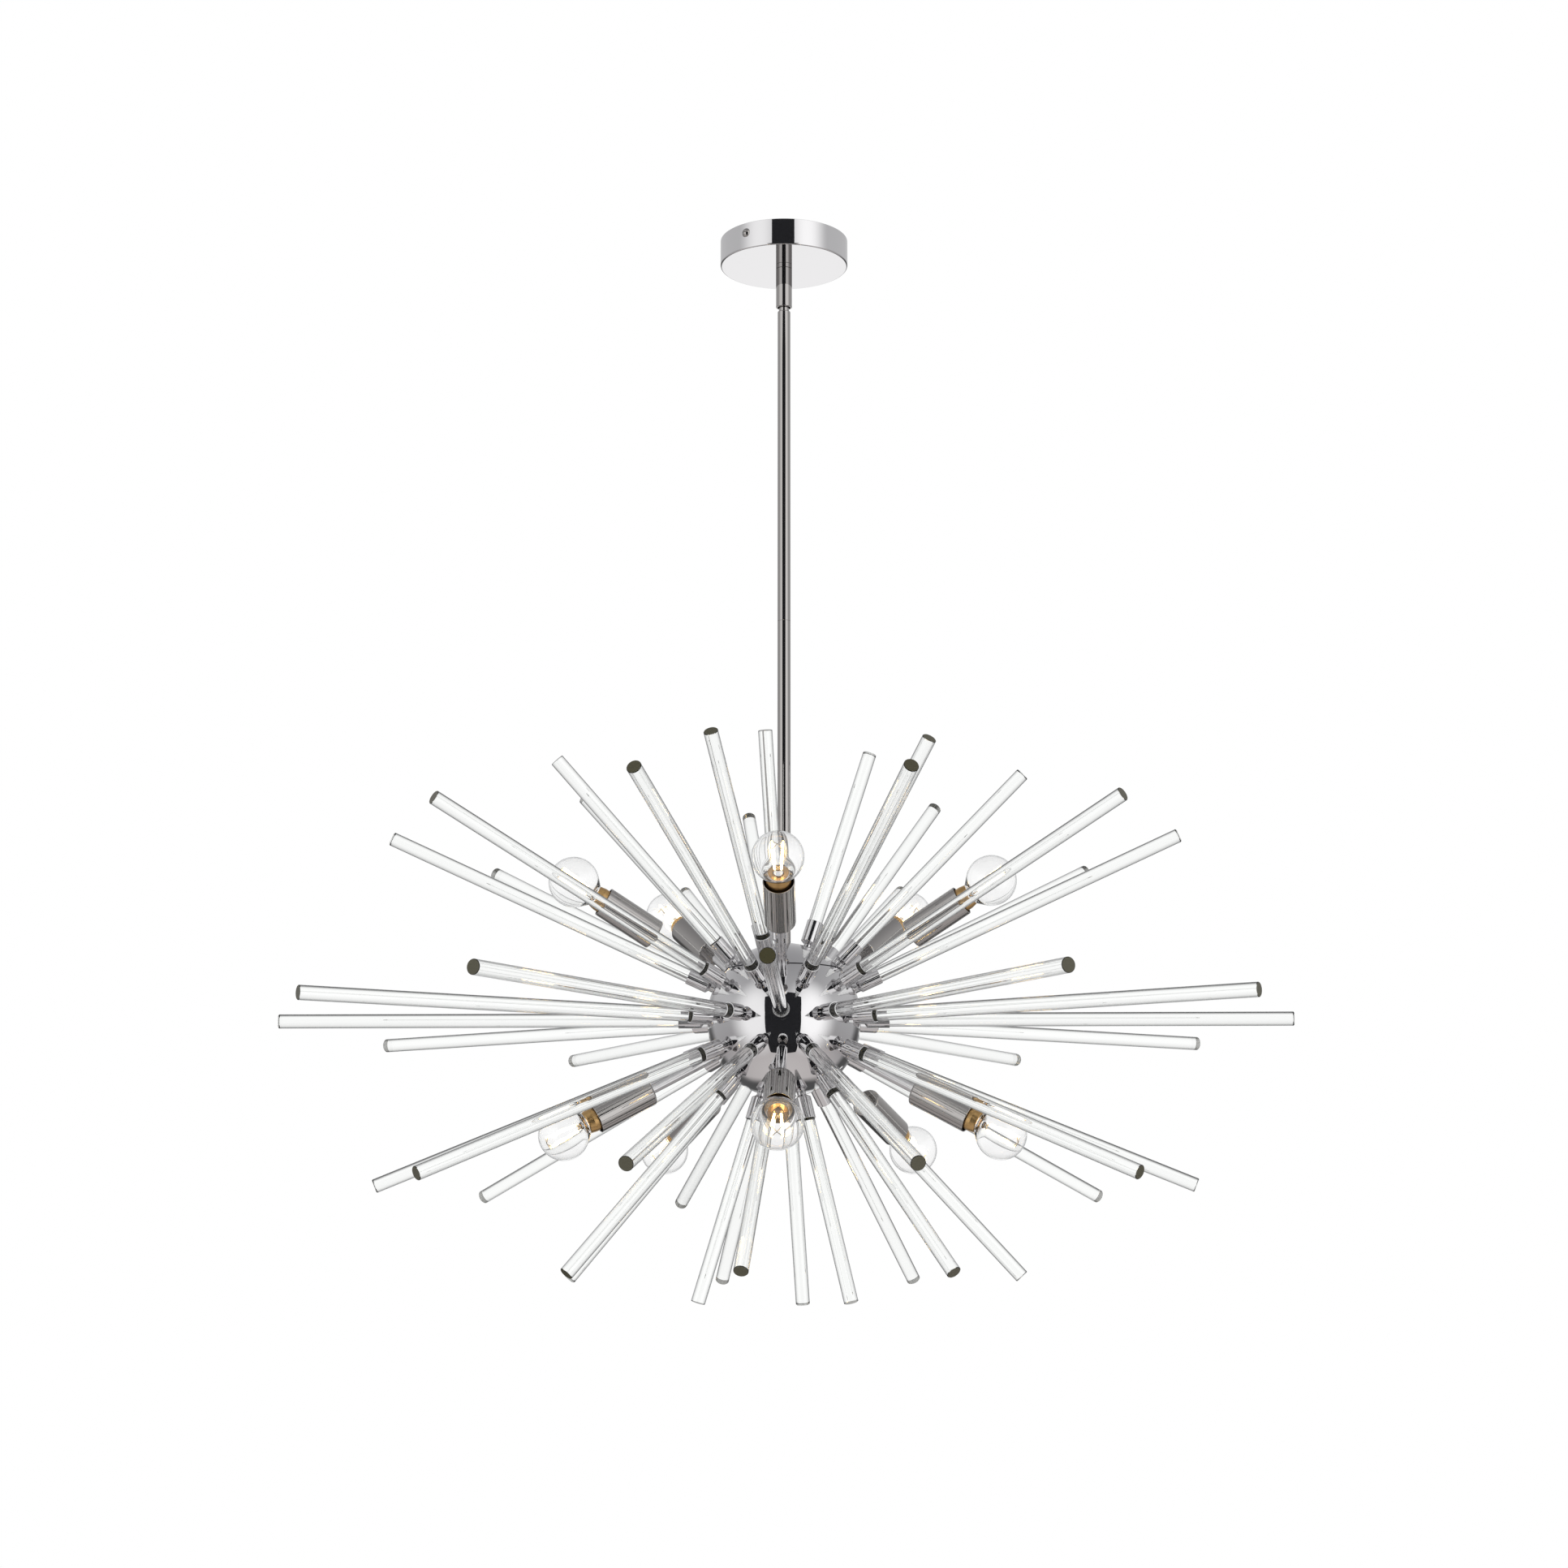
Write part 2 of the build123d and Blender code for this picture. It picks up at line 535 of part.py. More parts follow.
def lampholder():
    tapped = ARM_THREAD / 2 + SLIP
    foot = HOLDER_FOOT_DIAMETER / 2
    body = HOLDER_DIAMETER / 2
    socket = BASE_SHELL_DIAMETER / 2 + TURN_GAP
    foot_top = holder_back + HOLDER_FOOT_LENGTH
    tap_end = holder_back + HOLDER_GRIP + LOOSE
    return turned(
        (tapped, holder_back),
        (foot, holder_back),
        (foot, foot_top),
        (body, foot_top + HOLDER_SHOULDER),
        (body, holder_front),
        (socket, holder_front),
        (socket, socket_floor),
        (0, socket_floor),
        (0, tap_end),
        (tapped, tap_end),
    )


arm_nut_seat = sphere_reach(hub_inside, ARM_NUT_FLATS / math.sqrt(3)) - SLIP
parts["bulb_arms"] = place(bulb_arm(), bulb_places)
parts["arm_nuts"] = place(arm_nut(), bulb_places)
parts["socket_cups"] = place(socket_cup(), bulb_places)
parts["lampholders"] = place(lampholder(), bulb_places)


# Bulbs: a blown globe on a brass candelabra base, with upright filaments on a glass stem
def globe_tangent(neck, reach, globe):
    """Where a straight neck, starting at a radius below the globe's centre, runs into the globe."""
    start = math.atan2(-reach, neck)
    turn = math.acos(globe / math.hypot(neck, reach))
    return globe * math.cos(start + turn), globe_centre + globe * math.sin(start + turn)


def bulb_glass():
    outside = BULB_GLOBE / 2
    inside = outside - BULB_GLASS
    neck_outside = BULB_NECK / 2
    neck_inside = neck_outside - BULB_GLASS
    seal_top = collar_front + BULB_SEAL
    stem_side = BULB_STEM_DIAMETER / 2
    exhaust = BULB_EXHAUST_BORE / 2
    outer_join = globe_tangent(neck_outside, BULB_NECK_REACH, outside)
    inner_join = globe_tangent(neck_inside, BULB_NECK_REACH - BULB_SEAL, inside)
    outline = [
        Line((neck_outside, collar_front), outer_join),
        ThreePointArc(outer_join, (outside, globe_centre), (0, globe_centre + outside)),
        Line((0, globe_centre + outside), (0, globe_centre + inside)),
        ThreePointArc((0, globe_centre + inside), (inside, globe_centre), inner_join),
        Polyline(
            inner_join,
            (neck_inside, seal_top),
            (stem_side, seal_top),
            (stem_side, glass_stem_top),
            (exhaust, glass_stem_top),
            (exhaust, collar_front),
            (neck_outside, collar_front),
        ),
    ]
    return revolve(Plane.XZ * make_face(outline), Axis.Z)


def bulb_base():
    contact = BASE_CONTACT_DIAMETER / 2
    shell = BASE_SHELL_DIAMETER / 2
    collar = BASE_COLLAR_DIAMETER / 2
    contact_back = socket_floor + TURN_GAP
    shell_back = contact_back + BASE_CONTACT_HEIGHT
    return turned(
        (0, contact_back),
        (contact, contact_back),
        (shell, shell_back),
        (shell, collar_back),
        (collar - BASE_COLLAR_EDGE, collar_back),
        (collar, collar_back + BASE_COLLAR_EDGE),
        (collar, collar_front - BASE_COLLAR_TAPER),
        (BULB_NECK / 2, collar_front),
        (0, collar_front),
    )


def bar_between(start, end, diameter):
    axis = Vector(*end) - Vector(*start)
    return Plane(origin=start, z_dir=axis).location * rod(diameter, 0, axis.length)


def bulb_filament():
    disc_top = glass_stem_top + FILAMENT_DISC_HEIGHT
    foot_height = disc_top + FILAMENT_RISE
    head_height = foot_height + FILAMENT_LENGTH
    hub_bead = (0, 0, head_height + FILAMENT_RISE)
    filament = rod(FILAMENT_DISC_DIAMETER, glass_stem_top, disc_top)
    filament += Pos(*hub_bead) * Sphere(FILAMENT_LEAD_DIAMETER)
    for i in range(FILAMENT_COUNT):
        turn = math.radians(45 + 360 * i / FILAMENT_COUNT)
        out = Vector(math.cos(turn), math.sin(turn), 0)
        foot = out * FILAMENT_FOOT_RADIUS + Vector(0, 0, foot_height)
        head = out * FILAMENT_HEAD_RADIUS + Vector(0, 0, head_height)
        low_lead = Vector(0, 0, disc_top - FILAMENT_DISC_HEIGHT / 2)
        filament += bar_between(low_lead, foot, FILAMENT_LEAD_DIAMETER)
        filament += bar_between(foot, head, FILAMENT_DIAMETER)
        filament += bar_between(head, hub_bead, FILAMENT_LEAD_DIAMETER)
    return filament


glass_stem_top = collar_front + BULB_STEM_LENGTH
glass, base, filament = bulb_glass(), bulb_base(), bulb_filament()
for row, places in (("upper", upper_bulb_places), ("lower", lower_bulb_places)):
    for number, where in enumerate(places, start=1):
        parts[f"{row}_bulb_{number}_glass"] = where * glass
        parts[f"{row}_bulb_{number}_base"] = where * base
        parts[f"{row}_bulb_{number}_filament"] = where * filament

os.makedirs("parts", exist_ok=True)
for name, shape in parts.items():
    export_step(shape, f"parts/{name}.step")
print(len(parts), "nodes, hub centre at", round(hub_centre, 2))
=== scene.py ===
# %% [markdown]
# # A chrome pendant with a burst of clear glass rods
#
# A round canopy at the ceiling carries a swivel and two stems. At their foot a chrome hub holds 52 solid
# glass rods in ferrules and ten small globe bulbs in cups. Almost every metal piece is round, because it was
# turned on a lathe, spun over a former or drawn into a tube or a cup, and the glass was drawn or blown. So
# almost every mesh is an outline turned about its own axis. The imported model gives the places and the
# sizes. This script gives the pieces that show their final shape and their finish.

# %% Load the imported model
import bpy
import bmesh
import json
import math
from mathutils import Matrix, Vector


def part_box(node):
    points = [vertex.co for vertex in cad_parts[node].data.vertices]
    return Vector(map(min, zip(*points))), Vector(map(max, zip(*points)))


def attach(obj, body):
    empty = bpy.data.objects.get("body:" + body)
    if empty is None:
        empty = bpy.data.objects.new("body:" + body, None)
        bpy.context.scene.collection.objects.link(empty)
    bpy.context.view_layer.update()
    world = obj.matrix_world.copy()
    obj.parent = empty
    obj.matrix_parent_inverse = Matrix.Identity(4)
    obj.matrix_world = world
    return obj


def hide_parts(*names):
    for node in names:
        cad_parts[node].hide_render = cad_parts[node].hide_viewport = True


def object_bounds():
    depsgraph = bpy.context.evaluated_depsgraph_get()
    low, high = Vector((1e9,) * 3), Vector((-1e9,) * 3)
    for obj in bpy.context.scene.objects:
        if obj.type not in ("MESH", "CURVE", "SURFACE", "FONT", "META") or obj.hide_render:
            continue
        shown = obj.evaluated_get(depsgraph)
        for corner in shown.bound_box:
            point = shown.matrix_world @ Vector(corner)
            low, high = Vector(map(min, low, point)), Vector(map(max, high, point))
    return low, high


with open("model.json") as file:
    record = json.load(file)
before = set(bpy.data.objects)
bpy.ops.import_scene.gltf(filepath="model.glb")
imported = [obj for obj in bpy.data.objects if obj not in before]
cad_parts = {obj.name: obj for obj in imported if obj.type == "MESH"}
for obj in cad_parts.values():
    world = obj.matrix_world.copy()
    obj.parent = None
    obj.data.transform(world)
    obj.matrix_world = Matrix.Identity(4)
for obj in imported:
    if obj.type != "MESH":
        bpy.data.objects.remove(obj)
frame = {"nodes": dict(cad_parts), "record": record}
nodes = frame["nodes"]
cad_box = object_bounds()
scene = bpy.context.scene
scene.view_settings.view_transform = "Standard"

# %% [markdown]
# ## Camera
#
# The picture was taken from a little below the hub, looking up, so the canopy shows its underside and the
# far rods rise above the near ones. One camera was fitted to the rod tips, the canopy and the hub: the
# focal length in pixels of a square picture turns into a lens for a sensor of the usual width.

# %% Camera
MM = 0.001
HUB_RADIUS = 69.5 * MM
PICTURE_SIDE_PX = 1932
FOCAL_LENGTH_PX = 3592.5
SENSOR_SIDE = 36.0
CAMERA_DISTANCE = 2.619
CAMERA_BELOW_HUB = 0.2765
CAMERA_PITCH = math.radians(10.655)
CAMERA_AZIMUTH = math.radians(1.55)

hub_centre = Vector((0, 0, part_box("hub_bowl")[0].z + HUB_RADIUS))
lens = bpy.data.cameras.new("camera")
lens.sensor_width = SENSOR_SIDE
lens.lens = SENSOR_SIDE * FOCAL_LENGTH_PX / PICTURE_SIDE_PX
camera = bpy.data.objects.new("camera", lens)
camera.location = (
    CAMERA_DISTANCE * math.sin(CAMERA_AZIMUTH),
    -CAMERA_DISTANCE * math.cos(CAMERA_AZIMUTH),
    hub_centre.z - CAMERA_BELOW_HUB,
)
camera.rotation_euler = (math.pi / 2 + CAMERA_PITCH, 0, CAMERA_AZIMUTH)
scene.collection.objects.link(camera)
scene.camera = camera
print("camera: lens", round(lens.lens, 2), "mm, hub centre at", round(hub_centre.z, 4), "m")

# %% [markdown]
# ## Tools for finishes
#
# Colours are written as sRGB hex, the way they are read off a swatch, and Blender's shaders want linear
# light, so one function converts them. Another adds a node, sets its values and joins its inputs, which
# keeps each finish down to a short list of what is in it.


# %% Tools for finishes
def colour(code):
    """A colour written as sRGB hex, as linear RGBA."""
    channels = [int(code[i:i + 2], 16) / 255 for i in (1, 3, 5)]
    linear = [c / 12.92 if c <= 0.04045 else ((c + 0.055) / 1.055) ** 2.4 for c in channels]
    return (*linear, 1.0)


def add(tree, kind, settings=None, links=None):
    """Adds one node. Settings go to its sockets, by name or number, or to its own properties, and links
    join its inputs."""
    node = tree.nodes.new(kind)
    for name, value in (settings or {}).items():
        if isinstance(name, int) or name in node.inputs:
            node.inputs[name].default_value = value
        else:
            setattr(node, name, value)
    for name, source in (links or {}).items():
        tree.links.new(source, node.inputs[name])
    return node


def new_finish(name):
    """A material with nothing but its main shader, which the finish then fills in."""
    finish = bpy.data.materials.new(name)
    finish.use_nodes = True
    return finish, finish.node_tree, finish.node_tree.nodes["Principled BSDF"]


def set_values(shader, **values):
    """Sets the shader's inputs. An underscore in a name stands for a space."""
    for name, value in values.items():
        shader.inputs[name.replace("_", " ")].default_value = value


def per_metre(millimetres):
    """The scale of a pattern whose features are this far apart."""
    return 1000.0 / millimetres


# %% [markdown]
# ## Polished chrome
#
# The metal is brass and steel, buffed and then plated with chromium. Chromium reflects a little over half
# of the light, with a faintly cool tone, and a buffed surface is almost a mirror. What gives it away as
# metal and not as a perfect mirror is a slow waviness from buffing, which bends reflections a little, and
# fine wiping marks, which vary the gloss and are drawn coarser than real ones, so that they show. The
# stems, the swivel and the bulbs' cups get a copy of the same chrome, a shade darker and warmer: that is
# painted shade, for the darker tone that these pieces show.

# %% Polished chrome
BUFFING_WAVE_MM = 9.0
WIPE_MARK_MM = 2.5


def polished(name, code):
    finish, tree, shader = new_finish(name)
    set_values(shader, Base_Color=colour(code), Metallic=1.0)
    place = add(tree, "ShaderNodeTexCoord").outputs["Object"]
    wipes = add(tree, "ShaderNodeTexNoise",
                {"Scale": per_metre(WIPE_MARK_MM), "Detail": 5.0, "Distortion": 0.6}, {"Vector": place})
    gloss = add(tree, "ShaderNodeMapRange",
                {"From Min": 0.35, "From Max": 0.75, "To Min": 0.015, "To Max": 0.05},
                {"Value": wipes.outputs["Fac"]})
    waves = add(tree, "ShaderNodeTexNoise",
                {"Scale": per_metre(BUFFING_WAVE_MM), "Detail": 1.0}, {"Vector": place})
    bump = add(tree, "ShaderNodeBump", {"Strength": 0.004, "Distance": 0.2 * MM},
               {"Height": waves.outputs["Fac"]})
    tree.links.new(gloss.outputs["Result"], shader.inputs["Roughness"])
    tree.links.new(bump.outputs["Normal"], shader.inputs["Normal"])
    return finish


chrome = polished("polished_chrome_plate", "#d6d5d6")
# Painted shade: a copy of the chrome, darker and warmer, for the stems, the swivel and the cups.
shaded_chrome = polished("chrome_with_painted_shade", "#aba8a6")
print("finishes:", chrome.name, shaded_chrome.name)

# %% [markdown]
# ## Zinc-plated steel, and the green earthing screw
#
# The ceiling plate, the nuts and the screws inside are steel with a thin bright zinc plating, which is
# duller than chrome and shows a faint cloudy mottle. One noise gives both the tone and the gloss, because
# the duller spots of a plating are also the darker ones. The earthing screw is the same steel, dyed green.

# %% Zinc-plated steel
ZINC_MOTTLE_MM = 4.0


def zinc_plated(name, pale, dark):
    finish, tree, shader = new_finish(name)
    set_values(shader, Metallic=1.0)
    place = add(tree, "ShaderNodeTexCoord").outputs["Object"]
    mottle = add(tree, "ShaderNodeTexNoise",
                 {"Scale": per_metre(ZINC_MOTTLE_MM), "Detail": 6.0, "Roughness": 0.65}, {"Vector": place})
    tone = add(tree, "ShaderNodeMix", {"data_type": "RGBA", "A": colour(dark), "B": colour(pale)},
               {"Factor": mottle.outputs["Fac"]})
    gloss = add(tree, "ShaderNodeMapRange", {"To Min": 0.42, "To Max": 0.24},
                {"Value": mottle.outputs["Fac"]})
    tree.links.new(tone.outputs["Result"], shader.inputs["Base Color"])
    tree.links.new(gloss.outputs["Result"], shader.inputs["Roughness"])
    return finish


zinc = zinc_plated("bright_zinc_plated_steel", "#c9ccd0", "#a3a6ab")
earth_green = zinc_plated("green_dyed_zinc_plated_steel", "#3f9a57", "#1f6a36")
print("finishes:", zinc.name, earth_green.name)

# %% [markdown]
# ## Clear glass: drawn rods
#
# A rod is drawn from the melt and cut. Along its sides it is as clear as water, with faint lines that run
# the way it was drawn. It works as a strong lens across its width: near its two edges the view is bent
# aside to the dim parts of the room, which gives the dark line along each edge. A painted shade also greys
# the glass's tint towards each edge, by how the surface faces the view.
# How near to its edge a point seems is the cosine of its normal to the view, divided by the largest cosine
# that a rod at that slant can show, so a rod seen almost end on stays clear in its middle.

# %% Drawn glass rods
DRAW_LINE_MM = 1.6
DRAW_LINE_LENGTH_MM = 140.0


def rippled(tree, scale, strength):
    """The faint unevenness of drawn or blown glass, as a normal."""
    place = add(tree, "ShaderNodeTexCoord").outputs["UV"]
    scaled = add(tree, "ShaderNodeMapping", {"Scale": scale}, {"Vector": place})
    ripple = add(tree, "ShaderNodeTexNoise", {"Scale": 1.0, "Detail": 1.0},
                 {"Vector": scaled.outputs["Vector"]})
    bump = add(tree, "ShaderNodeBump", {"Strength": strength, "Distance": 0.2 * MM},
               {"Height": ripple.outputs["Fac"]})
    return bump.outputs["Normal"]


def drawn_glass():
    finish, tree, shader = new_finish("drawn_clear_glass")
    set_values(shader, Transmission_Weight=1.0, IOR=1.5, Roughness=0.0)
    around = add(tree, "ShaderNodeTangent", {"direction_type": "UV_MAP"}).outputs["Tangent"]
    normal = add(tree, "ShaderNodeNewGeometry").outputs["Normal"]
    along = add(tree, "ShaderNodeVectorMath", {"operation": "CROSS_PRODUCT"}, {0: normal, 1: around})
    side = add(tree, "ShaderNodeLayerWeight", {"Blend": 0.5}).outputs["Facing"]
    end = add(tree, "ShaderNodeLayerWeight", {"Blend": 0.5}, {"Normal": along.outputs["Vector"]})
    slant = add(tree, "ShaderNodeMath", {"operation": "SUBTRACT", 0: 1.0}, {1: end.outputs["Facing"]})
    squared = add(tree, "ShaderNodeMath", {"operation": "POWER", 1: 2.0}, {0: slant.outputs["Value"]})
    upright = add(tree, "ShaderNodeMath", {"operation": "SUBTRACT", 0: 1.0}, {1: squared.outputs["Value"]})
    largest = add(tree, "ShaderNodeMath", {"operation": "SQRT"}, {0: upright.outputs["Value"]})
    cosine = add(tree, "ShaderNodeMath", {"operation": "SUBTRACT", 0: 1.0}, {1: side})
    inward = add(tree, "ShaderNodeMath", {"operation": "DIVIDE"},
                 {0: cosine.outputs["Value"], 1: largest.outputs["Value"]})
    # Painted shade: the tint of the glass turns grey towards each edge of the rod, where it faces away from
    # the view.
    edge = add(tree, "ShaderNodeMapRange",
               {"interpolation_type": "SMOOTHSTEP", "From Min": 0.9, "From Max": 0.3},
               {"Value": inward.outputs["Value"]})
    tint = add(tree, "ShaderNodeMix", {"data_type": "RGBA", "A": colour("#fdfefd"), "B": colour("#58595a")},
               {"Factor": edge.outputs["Result"]})
    tree.links.new(tint.outputs["Result"], shader.inputs["Base Color"])
    draw_lines = (per_metre(DRAW_LINE_MM), per_metre(DRAW_LINE_LENGTH_MM), 1.0)
    tree.links.new(rippled(tree, draw_lines, strength=0.003), shader.inputs["Normal"])
    return finish


rod_glass = drawn_glass()
print("finish:", rod_glass.name)

# %% [markdown]
# ## Clear glass: blown globes
#
# The globes are soda glass, blown thin, and show little but a faint rim. That rim is painted shade: the tint
# greys where the wall is seen edge on. The waves in a blown wall have no direction, unlike the lines of a
# drawn rod, so the same ripple is used with one spacing both ways.

# %% Blown globes
BLOWN_WAVE_MM = 14.0


def blown_glass():
    finish, tree, shader = new_finish("blown_clear_soda_glass")
    set_values(shader, Transmission_Weight=1.0, IOR=1.5, Roughness=0.0)
    grazing = add(tree, "ShaderNodeLayerWeight", {"Blend": 0.5})
    # Painted shade: the globe's tint greys where its wall is seen edge on.
    edge = add(tree, "ShaderNodeMapRange",
               {"interpolation_type": "SMOOTHSTEP", "From Min": 0.6, "From Max": 1.0},
               {"Value": grazing.outputs["Facing"]})
    tint = add(tree, "ShaderNodeMix", {"data_type": "RGBA", "A": colour("#fefefe"), "B": colour("#b4b6b8")},
               {"Factor": edge.outputs["Result"]})
    tree.links.new(tint.outputs["Result"], shader.inputs["Base Color"])
    blown_waves = (per_metre(BLOWN_WAVE_MM), per_metre(BLOWN_WAVE_MM), 1.0)
    tree.links.new(rippled(tree, blown_waves, strength=0.002), shader.inputs["Normal"])
    return finish


globe_glass = blown_glass()
print("finish:", globe_glass.name)

# %% [markdown]
# ## Polished rod ends
#
# The ends of a rod are ground and polished. Through one the eye looks down the whole length of the glass,
# to the dark cement in the ferrule, so the end reads as a dark olive disc. Light that takes this way
# bounces too often to be followed well, so an end has a finish of its own: that olive, under a clear gloss.


# %% Polished rod ends
def polished_rod_end():
    finish, tree, shader = new_finish("polished_glass_rod_end")
    set_values(shader, Transmission_Weight=0.3, IOR=1.5, Roughness=0.03)
    place = add(tree, "ShaderNodeTexCoord").outputs["Object"]
    depth = add(tree, "ShaderNodeTexNoise", {"Scale": per_metre(DRAW_LINE_MM), "Detail": 3.0},
                {"Vector": place})
    tint = add(tree, "ShaderNodeMix", {"data_type": "RGBA", "A": colour("#54513a"), "B": colour("#625e46")},
               {"Factor": depth.outputs["Fac"]})
    tree.links.new(tint.outputs["Result"], shader.inputs["Base Color"])
    return finish


rod_end = polished_rod_end()
print("finish:", rod_end.name)

# %% [markdown]
# ## Brass bases
#
# The bulbs stand on brass bases, stamped and only lightly polished, so they are warm, a little uneven and
# softly glossy, with shallow ridges that run around them. The tone and the gloss follow one slow noise, and
# a wave texture gives the ridges. At scale 1 such a texture runs through 20 radians in each unit of length,
# which gives its waves in a unit.

# %% Brass bases
WAVES_PER_UNIT = 20 / (2 * math.pi)
RIDGE_SPACING_MM = 4.4
TARNISH_MM = 6.0


def stamped_brass():
    finish, tree, shader = new_finish("stamped_brass")
    set_values(shader, Metallic=1.0)
    surface = add(tree, "ShaderNodeTexCoord")
    tarnish = add(tree, "ShaderNodeTexNoise", {"Scale": per_metre(TARNISH_MM), "Detail": 2.0},
                  {"Vector": surface.outputs["Object"]})
    tone = add(tree, "ShaderNodeMix", {"data_type": "RGBA", "A": colour("#b08b58"), "B": colour("#d4b07a")},
               {"Factor": tarnish.outputs["Fac"]})
    gloss = add(tree, "ShaderNodeMapRange", {"To Min": 0.4, "To Max": 0.28},
                {"Value": tarnish.outputs["Fac"]})
    ridges = add(tree, "ShaderNodeTexWave",
                 {"bands_direction": "Y", "Scale": per_metre(RIDGE_SPACING_MM) / WAVES_PER_UNIT},
                 {"Vector": surface.outputs["UV"]})
    bump = add(tree, "ShaderNodeBump", {"Strength": 0.06, "Distance": 0.1 * MM},
               {"Height": ridges.outputs["Fac"]})
    tree.links.new(tone.outputs["Result"], shader.inputs["Base Color"])
    tree.links.new(gloss.outputs["Result"], shader.inputs["Roughness"])
    tree.links.new(bump.outputs["Normal"], shader.inputs["Normal"])
    return finish


brass = stamped_brass()
print("finish:", brass.name)

# %% [markdown]
# ## Cement, phenolic and painted seam shade
#
# A dark olive cement holds each rod in its ferrule. The lampholders are moulded phenolic. The seam groove of
# the hub gets a dark grey, which is painted shade for the gap between the two shells. The cement and the
# phenolic set from a paste or a powder. All three have a fine grain, so one function makes them. The grain
# is drawn coarse enough to show.

# %% Cement, phenolic and painted seam shade
MOULD_GRAIN_MM = 0.9


def moulded(name, pale, dark, roughness):
    finish, tree, shader = new_finish(name)
    set_values(shader, Roughness=roughness)
    place = add(tree, "ShaderNodeTexCoord").outputs["Object"]
    grain = add(tree, "ShaderNodeTexNoise", {"Scale": per_metre(MOULD_GRAIN_MM), "Detail": 4.0},
                {"Vector": place})
    tone = add(tree, "ShaderNodeMix", {"data_type": "RGBA", "A": colour(dark), "B": colour(pale)},
               {"Factor": grain.outputs["Fac"]})
    bump = add(tree, "ShaderNodeBump", {"Strength": 0.2, "Distance": 0.1 * MM},
               {"Height": grain.outputs["Fac"]})
    tree.links.new(tone.outputs["Result"], shader.inputs["Base Color"])
    tree.links.new(bump.outputs["Normal"], shader.inputs["Normal"])
    return finish


cement = moulded("cured_olive_epoxy_cement", "#67644c", "#4a4835", roughness=0.4)
phenolic = moulded("moulded_dark_phenolic", "#241f1b", "#15120f", roughness=0.45)
# Painted shade: a dark grey on the hub's seam groove, for the shade in the gap between the two shells.
seam_shade = moulded("painted_seam_shade", "#45454b", "#313136", roughness=0.6)
print("finishes:", cement.name, phenolic.name, seam_shade.name)

# %% [markdown]
# ## Filaments
#
# The filaments are sticks coated with a yellow phosphor that glows, held by nickel wires. Under the coating
# sits a row of small light sources, so the glow has faint bands along the stick. The real sources are about
# 1 mm apart, and the bands are drawn coarser, so that they show.

# %% Filaments
CHIP_SPACING_MM = 6.9


def glowing_phosphor():
    finish, tree, shader = new_finish("glowing_yellow_phosphor")
    set_values(shader, Base_Color=colour("#f4c552"), Roughness=0.55, Emission_Strength=8.0)
    place = add(tree, "ShaderNodeTexCoord").outputs["UV"]
    chips = add(tree, "ShaderNodeTexWave",
                {"bands_direction": "Y", "Scale": per_metre(CHIP_SPACING_MM) / WAVES_PER_UNIT},
                {"Vector": place})
    glow = add(tree, "ShaderNodeMix", {"data_type": "RGBA", "A": colour("#ffd27c"), "B": colour("#ffe9bd")},
               {"Factor": chips.outputs["Fac"]})
    tree.links.new(glow.outputs["Result"], shader.inputs["Emission Color"])
    return finish


def nickel_wire():
    finish, tree, shader = new_finish("drawn_nickel_wire")
    set_values(shader, Metallic=1.0, Base_Color=colour("#b9b2a4"))
    place = add(tree, "ShaderNodeTexCoord").outputs["Object"]
    drawn = add(tree, "ShaderNodeTexNoise", {"Scale": per_metre(MOULD_GRAIN_MM)}, {"Vector": place})
    gloss = add(tree, "ShaderNodeMapRange", {"To Min": 0.2, "To Max": 0.35},
                {"Value": drawn.outputs["Fac"]})
    tree.links.new(gloss.outputs["Result"], shader.inputs["Roughness"])
    return finish


phosphor = glowing_phosphor()
nickel = nickel_wire()
print("finishes:", phosphor.name, nickel.name)

# %% [markdown]
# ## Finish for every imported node
#
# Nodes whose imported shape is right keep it: the ceiling plate, the nuts and screws, the pins, the spindle,
# the ball and the lampholders. They only need their finish. The nodes that show in glass and chrome are
# replaced further down, because a mirror and a lens show every facet.

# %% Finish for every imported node
finish_of_slot = {
    "chrome": chrome,
    "zinc_steel": zinc,
    "ground_green": earth_green,
    "crystal": rod_glass,
    "bulb_glass": globe_glass,
    "brass": brass,
    "filament": phosphor,
    "phenolic": phenolic,
}
# The spindle, the ball, the pins and the screws also take this darker copy of the chrome, with its painted
# shade.
SHADED_CHROME_NODES = ("swivel_spindle", "swivel_ball", "swivel_pins", "canopy_screws")
slot_of_node = {part["node"]: part["material_slot"] for part in frame["record"]["subparts"]}
for name, packed in nodes.items():
    finish = shaded_chrome if name in SHADED_CHROME_NODES else finish_of_slot[slot_of_node[name]]
    for place in packed.material_slots:
        place.material = finish
print("finished:", len(nodes), "packed nodes")

# %% [markdown]
# ## Outlines of turned pieces
#
# An outline is a list of (radius, height) points. Corners with a rounding become arcs, because a real edge
# always has one and it is what catches the light. A bevel on the mesh would do this too, but an outline can
# give each corner the radius of its own tool. Long curves, such as the hub's, take finer steps.

# %% Outlines of turned pieces
ARC_STEP = math.radians(10)
CURVE_STEP = math.radians(4)


